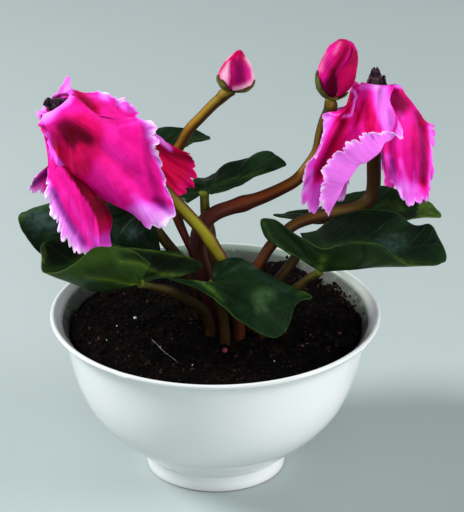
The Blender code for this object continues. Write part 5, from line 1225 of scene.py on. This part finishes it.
def make_bits():
    """White grains, a pink ball, a pale thread and a dry stub that lie on the soil."""
    rng = np.random.default_rng(3)
    white = [(-29.4, 3.0, 0.3), (-17.2, 46.5, 0.3), (-35.8, -2.0, 0.2), (-19.7, -22.3, 0.2),
             (-8.0, -33.0, 0.2), (21.0, -30.5, 0.2), (-39.0, -14.0, 0.2), (33.0, -18.0, 0.2),
             (-10.0, 20.0, 0.2)]
    sizes = [np.array([s, 0.6 * s, 0.7 * s]) for s in (0.75, 0.6, 0.3, 0.3, 0.25, 0.25, 0.3, 0.2, 0.3)]
    grains = scatter("white_grains", white, sizes, rng, 2)
    chalk = plain_bit_finish("white_grain", (0.80, 0.84, 0.85), (0.45, 0.48, 0.50), 0.8)
    settle(grains, chalk, "soil")
    ball = scatter("pink_ball", [(3.5, -23.5, 0.7), (45.1, -8.5, 0.3)],
                   [np.full(3, 0.85), np.full(3, 0.4)], rng, 3)
    settle(ball, plain_bit_finish("pink_ball", (0.26, 0.03, 0.07), (0.09, 0.006, 0.02), 0.5), "soil")
    thread = [(-22.7, -16.9, 57.9), (-20.8, -21.0, 58.1), (-18.4, -25.6, 57.8), (-16.4, -29.4, 58.0),
              (-13.6, -33.2, 57.6)]
    strand = tube("pale_thread", thread, lambda v: 0.055 + 0.07 * bell(v - 0.42, 0.06), 6, 8)
    settle(strand, plain_bit_finish("thread", (0.42, 0.45, 0.47), (0.08, 0.08, 0.09), 0.6), "soil")
    stub = [(8.9, -8.5, 55.0), (8.9, -8.9, 58.5), (8.7, -9.4, 61.0), (8.3, -9.6, 62.2)]
    stump = tube("dry_stub", stub, lambda v: 1.9 - 0.9 * v + 0.15 * wander(v * 8, 1, 4), 12, 6)
    settle(stump, plain_bit_finish("dry_stub", (0.16, 0.045, 0.030), (0.05, 0.014, 0.011), 0.7), "soil")


def frames_along(path):
    """Two directions square to a path at each of its points, turned as little as can be."""
    ahead = unit(np.gradient(path, axis=0))
    side = np.array((0.0, -1.0, 0.0))
    sides = []
    for way in ahead:
        side = unit(side - way * side.dot(way))
        sides.append(side)
    sides = np.array(sides)
    return sides, np.cross(ahead, sides)


def tube(name, route, radius, sides, steps):
    """A round stem along a route, with rounded ends; radius gives millimetres at 0 to 1 along it."""
    path = at(route, np.linspace(0, len(route) - 1, (len(route) - 1) * steps + 1))
    length = run_along(path)
    along = length / length[-1]
    side, other = frames_along(path)
    turn = np.linspace(0, math.tau, sides + 1)
    size = np.asarray(radius(along))[:, None, None]
    ring = side[:, None] * np.cos(turn)[None, :, None] + other[:, None] * np.sin(turn)[None, :, None]
    size = size * (1 + 0.03 * np.sin(3 * turn + 1)[None, :, None])
    grid = path[:, None] + ring * size
    first = path[0] + (grid[0] - path[0]) * 0.6 - (path[1] - path[0]) * 0.35
    last = path[-1] + (grid[-1] - path[-1]) * 0.6 + (path[-1] - path[-2]) * 0.35
    grid = np.concatenate([first[None], grid, last[None]])
    rows = len(grid)
    tips = [grid[0].mean(axis=0), grid[-1].mean(axis=0)]
    points = row_place(np.concatenate([grid.reshape(-1, 3), tips]))
    faces = [tuple(f) for f in ring_faces(rows, sides + 1)]
    count = rows * (sides + 1)
    low = count - sides - 1
    for k in range(sides):
        faces.append((count, k + 1, k))
        faces.append((count + 1, low + k, low + k + 1))
    v = np.repeat(np.concatenate([[0], along, [1]]), sides + 1)
    u = np.tile(np.linspace(0, 1, sides + 1), rows)
    uvs = np.concatenate([np.stack([u, v], axis=1), [[0.5, 0], [0.5, 1]]])
    return seal(mesh_object(name, points, faces, uvs))


def axis_frame(axis):
    """A flower's axis with two directions square to it; the first is as near +X as it can be."""
    axis = unit(np.asarray(axis, float))
    right = unit(np.array((1.0, 0, 0)) - axis * axis[0])
    return axis, right, np.cross(axis, right)


def round_axis(place, frame_axes, radius, height, degrees):
    """Points round an axis; radius, height and degrees may be arrays of one shape."""
    axis, right, back = frame_axes
    turn = np.radians(degrees)
    radius = np.asarray(radius, float)
    return (np.asarray(place, float) + np.multiply.outer(np.asarray(height, float), axis)
            + np.multiply.outer(radius * np.cos(turn), right)
            + np.multiply.outer(radius * np.sin(turn), back))


def make_leaf(name, look, finish):
    """One heart-shaped blade, waved between its veins and faintly scalloped at its margin."""
    joint, ribs = LEAVES[name]
    ribs = np.reshape(ribs, (-1, 2, 3))
    fan = np.array([[joint, *rib] for rib in ribs], float)
    count = RIB_STEPS * (len(ribs) - 1) + 1
    across = np.linspace(0, len(ribs) - 1, count)
    v = 1 - (1 - np.linspace(0, 1, BLADE_ROWS)) ** 1.25
    rows = at(at(fan, across).transpose(1, 0, 2), v * 2)
    u = np.linspace(0, 1, count)
    length = run_along(rows[-1])
    v_grid, u_grid = np.meshgrid(v, u, indexing="ij")
    normals = normals_of(rows)
    lane = np.abs((u_grid * VEIN_LANES) % 1 - 0.5) * 2
    quilt = 0.30 * np.exp(-((1 - lane) * v_grid * 7.0) ** 2) * fade(v_grid, 0.05, 0.3)
    wave = 0.55 * wander(length, 13, look["seed"])[None] * fade(v_grid, 0.45, 1.0)
    wave = wave + 0.28 * wander(length, 4.2, look["seed"] + 1)[None] * fade(v_grid, 0.7, 1.0)
    swell = 0.35 * np.sin(u_grid * 44) * np.sin(v_grid * 9.0) * fade(v_grid, 0.1, 0.4)
    rows = rows + normals * (wave + swell * 0.6 - quilt)[..., None]
    reach = unit(rows[-1] - rows[-4])
    scallop = 0.22 * np.sin(length / 2.6 + wander(length, 9, look["seed"] + 2) * 2)
    rows[-1] += reach * scallop[:, None]
    rows[-2] += reach * scallop[:, None] * 0.6
    edge = np.minimum(u_grid, 1 - u_grid) * (len(ribs) - 1)
    thickness = 0.75 - 0.35 * fade(v_grid, 0.9, 1.0) - 0.2 * (1 - fade(edge, 0, 0.5))
    # Marks: pale with painted highlights, blue-grey mottling with painted shine, and painted shade.
    marks = np.stack([painted(look, key, rows, v_grid) for key in ("pale", "mottling_and_shine_mark", "painted_leaf_shade")], axis=2)
    marks = np.clip(marks, 0, 1)
    leaf = seal(blade(name + "_blade", row_place(rows), thickness * MM, marks, facing=(0, 0, 1)))
    return settle(leaf, finish, look.get("slot", "leaf_green"), name)


def petal_grid(bloom, petal, columns, rows, lift, spread):
    """Points of a petal from inside the cup, over the collar and down to its fringe."""
    first, last, tier, ribs = petal
    ribs = np.reshape(ribs, (-1, 3, 3)).astype(float)
    axes = axis_frame(bloom["axis"])
    drop = UNDER_TIER * tier
    degrees = np.linspace(first, last, len(ribs))
    share = np.linspace(0, 1, len(ribs))
    rise, wide = profile(lift, share), profile(spread, share)
    flat = np.zeros(len(ribs))
    mouth = bloom["mouth"]
    root = round_axis(mouth, axes, flat + CUP_RADIUS, flat - ROOT_DEPTH - drop, degrees)
    lip = round_axis(mouth, axes, flat + CUP_RADIUS + LIP_REACH + 0.3 * tier + 0.5 * wide,
                     0.5 * rise - drop, degrees)
    collar = round_axis(mouth, axes, flat + COLLAR_RADIUS + wide, flat + COLLAR_HEIGHT + rise - drop, degrees)
    fan = np.concatenate([np.stack([root, lip, collar], axis=1), ribs], axis=1)
    across = np.linspace(0, len(ribs) - 1, columns)
    v = np.concatenate([np.linspace(0, 0.4, 8)[:-1], 1 - 0.6 * (1 - np.linspace(0, 1, rows - 7)) ** 1.35])
    return at(at(fan, across).transpose(1, 0, 2), v * 5), v


def profile(values, u):
    """One number, or numbers spread evenly along a margin, read at each place u."""
    values = np.atleast_1d(values)
    return np.interp(u, np.linspace(0, 1, len(values)), values)


def teeth(length, seed):
    """How far the fringe reaches along a margin: rounded lobes cut by notches, each of them toothed."""
    phase = length / LOBE_STEP + 1.3 * wander(length, 7, seed)
    lobes = np.abs(np.sin(math.pi * phase)) ** 0.45 - 0.75
    phase = length / TOOTH_STEP + 1.5 * wander(length, 3, seed + 1)
    fine = np.abs(np.sin(math.pi * phase)) ** 0.7 - 0.5
    size = 0.6 + 0.6 * wander(length, 2.3, seed + 2)
    return 1.5 * lobes * (1.0 + 0.8 * wander(length, 6, seed + 4)) + 1.1 * fine * size \
        + 0.6 * wander(length, 1.9, seed + 3)


def make_petal(bloom, petal, look, seed):
    """One petal: waved, folded and ribbed, cut into a fringe at its margin, and painted."""
    columns = look["columns"]
    grid, v = petal_grid(bloom, petal, columns, look["rows"], look.get("lift", 0), look.get("spread", 0))
    u = np.linspace(0, 1, columns)
    v_grid, u_grid = np.meshgrid(v, u, indexing="ij")
    rim = run_along(grid[-1])
    normals = normals_of(grid)
    toward = normals * np.sign((normals * (EYE - grid)).sum())
    ruffle = profile(look.get("ruffle", 0.6), u)
    wave = ruffle * (wander(rim, 3.4, seed + 5) + 0.45 * wander(rim, 1.5, seed + 6))
    swell = look.get("swell", 0.35) * wander(u_grid * 5 + v_grid * 2, 1.0, seed + 9) * fade(v_grid, 0.5, 0.75)
    ribbing = 0.03 * wander(u_grid * 70, 1.0, seed + 7) * fade(v_grid, 0.45, 0.6)
    steps = np.linalg.norm(np.diff(grid, axis=0), axis=2)
    inset = np.concatenate([np.cumsum(steps[::-1], axis=0)[::-1], np.zeros((1, columns))])
    near = bell(inset, look.get("frill", 2.6))
    first_side, last_side = look.get("curl", (0, 0))
    along = fade(v_grid, 0.38, 0.5)
    waver = first_side * fade(-u_grid, -0.13, 0) * wander(v_grid * 17, 1, seed + 11) * along
    waver = waver + last_side * fade(u_grid, 0.87, 1) * wander(v_grid * 17, 1, seed + 12) * along
    folds = painted(look, "folds", grid, v_grid)
    grid = grid + normals * (wave[None] * near + waver + ribbing + swell)[..., None]
    grid = grid + toward * folds[..., None]
    reach = grid[-1] - grid[-6]
    reach /= np.maximum(np.linalg.norm(reach, axis=1, keepdims=True), 1e-9)
    tooth = teeth(rim, seed) * profile(look.get("fringe", 1.0), u)
    edge_x, edge_y = seen(grid[-1])
    for x, y, wide, more in look.get("lobes", ()):
        tooth = tooth + more * bell(np.hypot(edge_x - x, edge_y - y), wide)
    grid = grid + reach[None] * (tooth[None] * np.exp(-(inset / 3.2) ** 1.6))[..., None]
    thickness = 0.62 - 0.42 * fade(v_grid, 0.75, 1.0)
    side_edge = np.minimum(u_grid, 1 - u_grid) * columns
    thickness = thickness * (0.45 + 0.55 * fade(side_edge, 0, 6))
    pale_wide = look.get("pale_wide", 1.5) * (1 + 0.5 * wander(rim, 2.3, seed + 8)[None])
    edge = np.exp(-(inset / pale_wide) ** 1.5)
    lilac = painted(look, "lilac", grid, v_grid) + profile(look.get("rim", 0.7), u)[None] * edge
    eye = painted(look, "eye", grid, v_grid) * (1 + 0.22 * wander(u_grid * 85, 1, seed + 13))
    # The red mark: the dark eye, and the painted shade marks at half strength.
    dark = np.maximum(eye, 0.5 * painted(look, "painted_shade", grid, v_grid))
    marks = np.stack([dark, lilac, painted(look, "red", grid, v_grid)], axis=2)
    away = grid - np.array(bloom["mouth"], float)
    axis = axis_frame(bloom["axis"])[0]
    away = away - (away @ axis)[..., None] * axis
    marks = np.clip(marks, 0, 1)
    return seal(blade("petal", row_place(grid), thickness * MM, marks, (rim[-1] / 60, 1), away,
                      look.get("under", 1)))


def plain_blade(name, grid, thickness, marks=(0, 0, 0)):
    """A blade with the same marks all over; its thickness is in millimetres."""
    size = grid.shape[:2]
    return seal(blade(name, row_place(grid), np.broadcast_to(thickness, size) * MM,
                      np.broadcast_to(np.array(marks, float), (*size, 3))))


def cup_grid(place, axes, radius, depth, top, sides=48):
    """Rows of a round-bottomed cup about an axis, from its floor's middle to its rim."""
    turn = np.linspace(0, 360, sides + 1)
    rows = [np.tile(np.asarray(place, float) - axes[0] * depth, (sides + 1, 1))]
    for r, h in ((0.3, -1.0), (0.55, -0.99), (0.78, -0.92), (0.92, -0.78), (1.0, -0.5)):
        rows.append(round_axis(place, axes, np.full(sides + 1, r * radius),
                               np.full(sides + 1, h * depth), turn))
    rows.append(round_axis(place, axes, np.full(sides + 1, radius), top + 0 * turn, turn))
    return np.array(rows)


def make_corolla(name, bloom, looks, finish, node, seed):
    """Five fringed petals joined at a short cup."""
    parts = [make_petal(bloom, petal, look, seed + 20 * k)
             for k, (petal, look) in enumerate(zip(bloom["petals"], looks))]
    axes = axis_frame(bloom["axis"])
    cup = cup_grid(bloom["mouth"], axes, CUP_RADIUS, CUP_DEPTH, -0.6)
    parts.append(plain_blade("cup", cup, 0.8, (0.5, 0, 0.8)))
    return settle(join(name, parts), finish, "petal_pink", node)


def make_calyx(name, bloom, finish, node):
    """Five pointed sepals round the cup, under the petals."""
    axes = axis_frame(bloom["axis"])
    foot = np.array(bloom["mouth"], float) - axes[0] * CALYX_DROP
    grid = cup_grid(foot, axes, CALYX_RADIUS, 3.4, 0, 60)
    turn = np.linspace(0, 360, 61)
    lobe = np.abs(np.cos(np.radians(turn * 2.5))) ** 1.6
    for rise in (0.4, 0.75, 1.0):
        row = round_axis(foot, axes, CALYX_RADIUS + 0.3 * rise * lobe, rise * (0.4 + 1.9 * lobe), turn)
        grid = np.concatenate([grid, row[None]])
    return settle(plain_blade(name, grid, 0.6), finish, "sepal_green", node)


def make_centre(name, bloom, height, wide, lean, lobes, finish, node, seed):
    """Dried stamens and style: twisted, shrivelled strips that stand together in the mouth."""
    axes = axis_frame(bloom["axis"])
    rng = np.random.default_rng(seed)
    parts = []
    tops = [(30 * k + rng.uniform(-9, 9), height * rng.uniform(0.72, 1.0), 0.0) for k in range(12)] + lobes
    for start, top, out in tops:
        t = np.linspace(0, 1, 12)[:, None]
        across = np.linspace(-1, 1, 9)[None]
        degrees = start + 40 * t * rng.uniform(-1, 1) + across * (34 - 6 * t)
        radius = (wide + 0.4 * rng.uniform(-1, 1)) * (1 - 0.84 * t ** 0.8) + 0.35 * across ** 2 + out * t
        rise = -2.4 + (top + 2.4) * t - 0.5 * across ** 2 * t
        grid = round_axis(bloom["mouth"], axes, radius, rise, degrees)
        grid = grid + rng.normal(size=grid.shape) * 0.13
        grid = grid + np.array(lean) * (t[..., None] ** 2)
        parts.append(plain_blade("strip", grid, 0.5))
    core = [tuple(np.array(bloom["mouth"]) + axes[0] * h) for h in (-6.2, -3.5, -1, height * 0.55)]
    parts.append(tube("core", core, lambda v: 0.8 * wide * (1 - 0.7 * v), 14, 4))
    return settle(join(name, parts), finish, "withered", node)


def bud_radius(bud, t):
    """A bud's radius at a share of its height."""
    t = np.clip(t, 0, 1)
    outline = np.array([0.0] + bud["outline"] + [0.0])
    where = np.concatenate([[0, 0.03], np.linspace(0.11, 0.97, len(bud["outline"]) - 1), [1.0]])
    return bud["radius"] * np.interp(t, where, outline)


def make_bud(side, finish, node):
    """Furled petals round a bud, each with its free edge over the next one."""
    bud = BUDS[side]
    foot, tip = np.array(bud["foot"], float), np.array(bud["tip"], float)
    length = np.linalg.norm(tip - foot)
    axes = axis_frame(tip - foot)
    parts = []
    for k, look in enumerate(bud["petals"]):
        t = 1 - (1 - np.linspace(0, 1, 64)) ** 1.5
        u = np.linspace(0, 1, 90) ** 1.3
        t_grid, u_grid = np.meshgrid(t, u, indexing="ij")
        heights, turns = np.array(look["edge"], float).T
        edge = np.interp(t, heights, turns)
        edge = np.convolve(np.pad(edge, 4, "edge"), np.ones(9) / 9, "valid")
        edge = edge + 1.2 * wander(t * 16, 1, k)
        degrees = -90 + edge[:, None] + look["span"] * u_grid
        radius = bud_radius(bud, 0.01 + 0.99 * t_grid)
        proud = look["lift"] * (1 - fade(u_grid, 0.0, 0.14)) - 0.45 * fade(u_grid, 0.35, 1.0) - 0.12 * k
        proud = proud + 0.16 * wander(t_grid * 7 + u_grid * 3, 1, k + 4) + 0.05 * wander(u_grid * 40, 1, k)
        radius = np.maximum(radius + proud * fade(radius, 0, 2.0), 0.05)
        grid = round_axis(foot, axes, radius, length * (0.01 + 0.985 * t_grid), degrees)
        # Painted shade, pale streaks (some of them painted highlights) and red.
        marks = np.stack([0.5 * painted(look, "painted_shade", grid, t_grid), painted(look, "pale", grid, t_grid),
                          painted(look, "red", grid, t_grid)], axis=2)
        parts.append(seal(blade("furl", row_place(grid), np.full(grid.shape[:2], 0.35 * MM),
                                np.clip(marks, 0, 1))))
    t = np.linspace(0.03, 0.93, 12)
    core = [tuple(foot + axes[0] * length * h) for h in t]
    parts.append(tube("core", core, lambda v: 0.84 * bud_radius(bud, 0.03 + 0.9 * v), 24, 2))
    return settle(join("bud_%s_furled" % side, parts), finish, "petal_pink", node)


def make_bud_sepals(side, finish, node, reach, wide):
    """Pointed sepals that clasp the foot of a bud, each with its own reach up it."""
    bud = BUDS[side]
    foot, tip = np.array(bud["foot"], float), np.array(bud["tip"], float)
    length = np.linalg.norm(tip - foot)
    axes = axis_frame(tip - foot)
    turn = np.linspace(0, 360, 141)
    lobe = np.zeros(141)
    for middle, high in reach:
        away = np.abs((turn - 270 - middle + 180) % 360 - 180) / wide
        lobe = np.maximum(lobe, high * np.sqrt(np.clip(1 - away ** 1.6, 0, 1)))
    rows = [np.tile(foot - axes[0] * 0.75, (141, 1))]
    for k in range(1, 19):
        t = (0.03 + lobe) * (k / 18)
        radius = 1.01 * bud_radius(bud, t + 0.02) + 0.15 + 0.2 * fade(lobe, 0.0, 0.1)
        rows.append(round_axis(foot, axes, radius, length * t - 0.75 * (1 - k / 18), turn))
    grid = np.array(rows)
    share = np.linspace(0, 1, len(grid))[:, None] + 0 * turn[None]
    thickness = 0.7 - 0.4 * fade(share, 0.8, 1.0)
    return settle(plain_blade("bud_%s_calyx" % side, grid, thickness), finish, "sepal_green", node)


def stem_top(place, axis, drop):
    return tuple(np.asarray(place, float) - unit(np.asarray(axis, float)) * drop)


def down_into_soil(route):
    """A route carried straight down into the soil."""
    places = [tuple(place) for place in np.reshape(route, (-1, 3))]
    x, y, _ = places[-1]
    return places + [(x, y, SOIL_LEVEL + 1.5), (x, y, STEM_END)]


def make_stalk(name, top, finish, slot, shape):
    """A flower stalk, pinched a little just under what it carries and swollen at its listed knots."""
    radius, route = STALKS[name]
    path = [top] + down_into_soil(route)

    def size(v):
        swell = profile(radius, v) * (1.0 - 0.3 * bell(v, 0.014))
        for place, more in shape:
            swell = swell + more * bell(v - place, 0.025)
        return swell + 0.06 * wander(v * 14, 1, 3)

    stalk = tube(name + "_stem", path, size, 24, 6)
    mark_lit_side(stalk)
    return settle(stalk, finish, slot, name)


def mark_lit_side(stem):
    """Marks how far each part of a stem's skin turns to the front and up, where the finish paints it paler as
    painted light.
    """
    way = np.array((-0.22, -0.72, 0.66))
    turned = np.array([corner.normal for corner in stem.data.vertices]) @ way
    layer = stem.data.attributes.new("marks", "FLOAT_COLOR", "POINT")
    layer.data.foreach_set("color", np.repeat(np.clip(turned, 0, 1), 4))


def make_petiole(leaf, finish):
    """A leaf's own stem, which widens into a small joint under the blade."""
    joint = LEAVES[leaf][0]
    name = leaf.replace("leaf", "petiole")
    first = np.array(PETIOLES[leaf][:3], float)
    path = [tuple(np.array(joint) + unit(first - joint) * 0.3)] + down_into_soil(PETIOLES[leaf])

    def size(v):
        swell = 1.25 + 0.65 * fade(v, 0.0, 0.35) + 0.5 * bell(v, 0.02) + 0.05 * wander(v * 12, 1, 8)
        return swell * {"leaf_top_left": 0.72, "leaf_top": 1.25}.get(leaf, 1.0)

    stem = tube(name + "_stem", path, size, 20, 6)
    mark_lit_side(stem)
    return settle(stem, finish, "petiole_olive", name)


def make_leaves():
    # The blue-grey of the leaves' mottling and of their painted shine.
    mottling_and_shine_rgb = (0.040, 0.070, 0.072)
    finishes = {
        "leaf_green": leaf_finish(
            "leaf_green", (0.0030, 0.0100, 0.0036), (0.0070, 0.0240, 0.0065), (0.0090, 0.0240, 0.0065),
            (0.048, 0.105, 0.013), (0.020, 0.048, 0.014), mottling_and_shine_rgb, 0.30),
        "leaf_light_green": leaf_finish(
            "leaf_light_green", (0.0040, 0.0120, 0.0040), (0.012, 0.034, 0.0070), (0.026, 0.062, 0.009),
            (0.075, 0.120, 0.012), (0.040, 0.085, 0.016), mottling_and_shine_rgb, 0.32),
    }
    for name, look in LEAF_LOOKS.items():
        make_leaf(name, look, finishes[look.get("slot", "leaf_green")])
    olive = stem_finish(
        "petiole_olive",
        [(0.0, (0.060, 0.075, 0.009)), (0.10, (0.020, 0.016, 0.005)), (1.0, (0.005, 0.004, 0.003))],
        [(0.0, (0.12, 0.15, 0.012)), (0.12, (0.085, 0.065, 0.012)), (0.5, (0.050, 0.028, 0.008)),
         (1.0, (0.012, 0.007, 0.004))], (0.045, 0.012, 0.005), 0.35)
    for name in LEAVES:
        make_petiole(name, olive)


def make_stalks():
    tops = {"stalk_%s_bloom" % side: stem_top(bloom["mouth"], bloom["axis"], CUP_DEPTH + BLOOM_GAP)
            for side, bloom in (("left", LEFT_BLOOM), ("right", RIGHT_BLOOM))}
    for side, bud in BUDS.items():
        tops["stalk_%s_bud" % side] = stem_top(bud["foot"], np.subtract(bud["tip"], bud["foot"]), BUD_GAP)
    for name, (slot, knots, *skin) in STALK_SKINS.items():
        make_stalk(name, tops[name], stem_finish(name, *skin), slot, knots)


def make_flowers():
    petal, sepal, dry, furled = petal_finish(), sepal_finish(), withered_finish(), bud_finish()
    make_corolla("left_bloom_petals", LEFT_BLOOM, LEFT_PETALS, petal, "corolla_left", 100)
    make_corolla("right_bloom_petals", RIGHT_BLOOM, RIGHT_PETALS, petal, "corolla_right", 300)
    make_calyx("left_bloom_calyx", LEFT_BLOOM, sepal, "calyx_left")
    make_calyx("right_bloom_calyx", RIGHT_BLOOM, sepal, "calyx_right")
    make_centre("left_bloom_centre", LEFT_BLOOM, 1.8, 3.5, (-1.0, 0, -0.5), [(150, 1.5, 3.0), (175, 0.8, 2.6)],
                dry, "withered_centre_left", 2)
    make_centre("right_bloom_centre", RIGHT_BLOOM, 6.2, 4.6, (-0.6, 0, 0), [(-10, 3.4, 2.6), (15, 2.8, 2.2)],
                dry, "withered_centre_right", 9)
    make_bud("small", furled, "bud_petals_small")
    make_bud("big", furled, "bud_petals_big")
    make_bud_sepals("small", sepal, "bud_sepals_small", [(-74, 0.32), (-48, 0.30), (26, 0.10), (50, 0.20),
                                                         (76, 0.30), (130, 0.2), (200, 0.2)], 24)
    make_bud_sepals("big", sepal, "bud_sepals_big", [(-80, 0.36), (-62, 0.28), (-42, 0.10), (76, 0.12),
                                                     (150, 0.22), (200, 0.2)], 22)


def make_studio():
    """Pale floor, a large soft key from the upper left, two broad fills, and the camera."""
    bpy.ops.object.select_all(action="DESELECT")
    bpy.ops.mesh.primitive_plane_add(size=12, location=(0, 0, 0))
    floor = bpy.context.object
    floor.name = "floor"
    floor.data.materials.append(floor_finish())
    world = bpy.data.worlds.new("studio")
    bpy.context.scene.world = world
    world.use_nodes = True
    sky = world.node_tree.nodes["Background"]
    sky.inputs["Color"].default_value = (0.93, 0.98, 1.0, 1.0)
    sky.inputs["Strength"].default_value = 0.36
    add_light("key", (-0.95, 0.05, 0.75), 0.45, 20.0)
    add_light("side_fill", (1.0, -0.25, 0.50), 0.70, 11.0)
    add_light("front_fill", (0.15, -1.25, 0.60), 0.60, 5.0)
    eye = bpy.data.cameras.new("camera")
    eye.lens = 195.2
    eye.sensor_width = 36
    eye.sensor_fit = "AUTO"
    eye.clip_end = 20
    camera = linked("camera", eye)
    camera.location = row_place(EYE)
    camera.rotation_euler = (math.pi / 2 - LOOK_DOWN, 0, 0)
    bpy.context.scene.camera = camera
    bpy.context.scene.view_settings.view_transform = "Standard"


def add_light(name, place, size, watts):
    lamp = bpy.data.lights.new(name, "AREA")
    lamp.shape = "DISK"
    lamp.size = size
    lamp.energy = watts
    thing = linked(name, lamp)
    thing.location = place
    thing.rotation_euler = (Vector((0, 0, 0.08)) - Vector(place)).to_track_quat("-Z", "Y").to_euler()


make_studio()
make_bowl()
make_soil()
make_crumbs()
make_splashes()
make_bits()
make_leaves()
make_stalks()
make_flowers()
buried = plain_bit_finish("corm", (0.14, 0.085, 0.055), (0.05, 0.03, 0.02), 0.9)
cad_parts["corm"].data.materials.clear()
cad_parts["corm"].data.materials.append(buried)
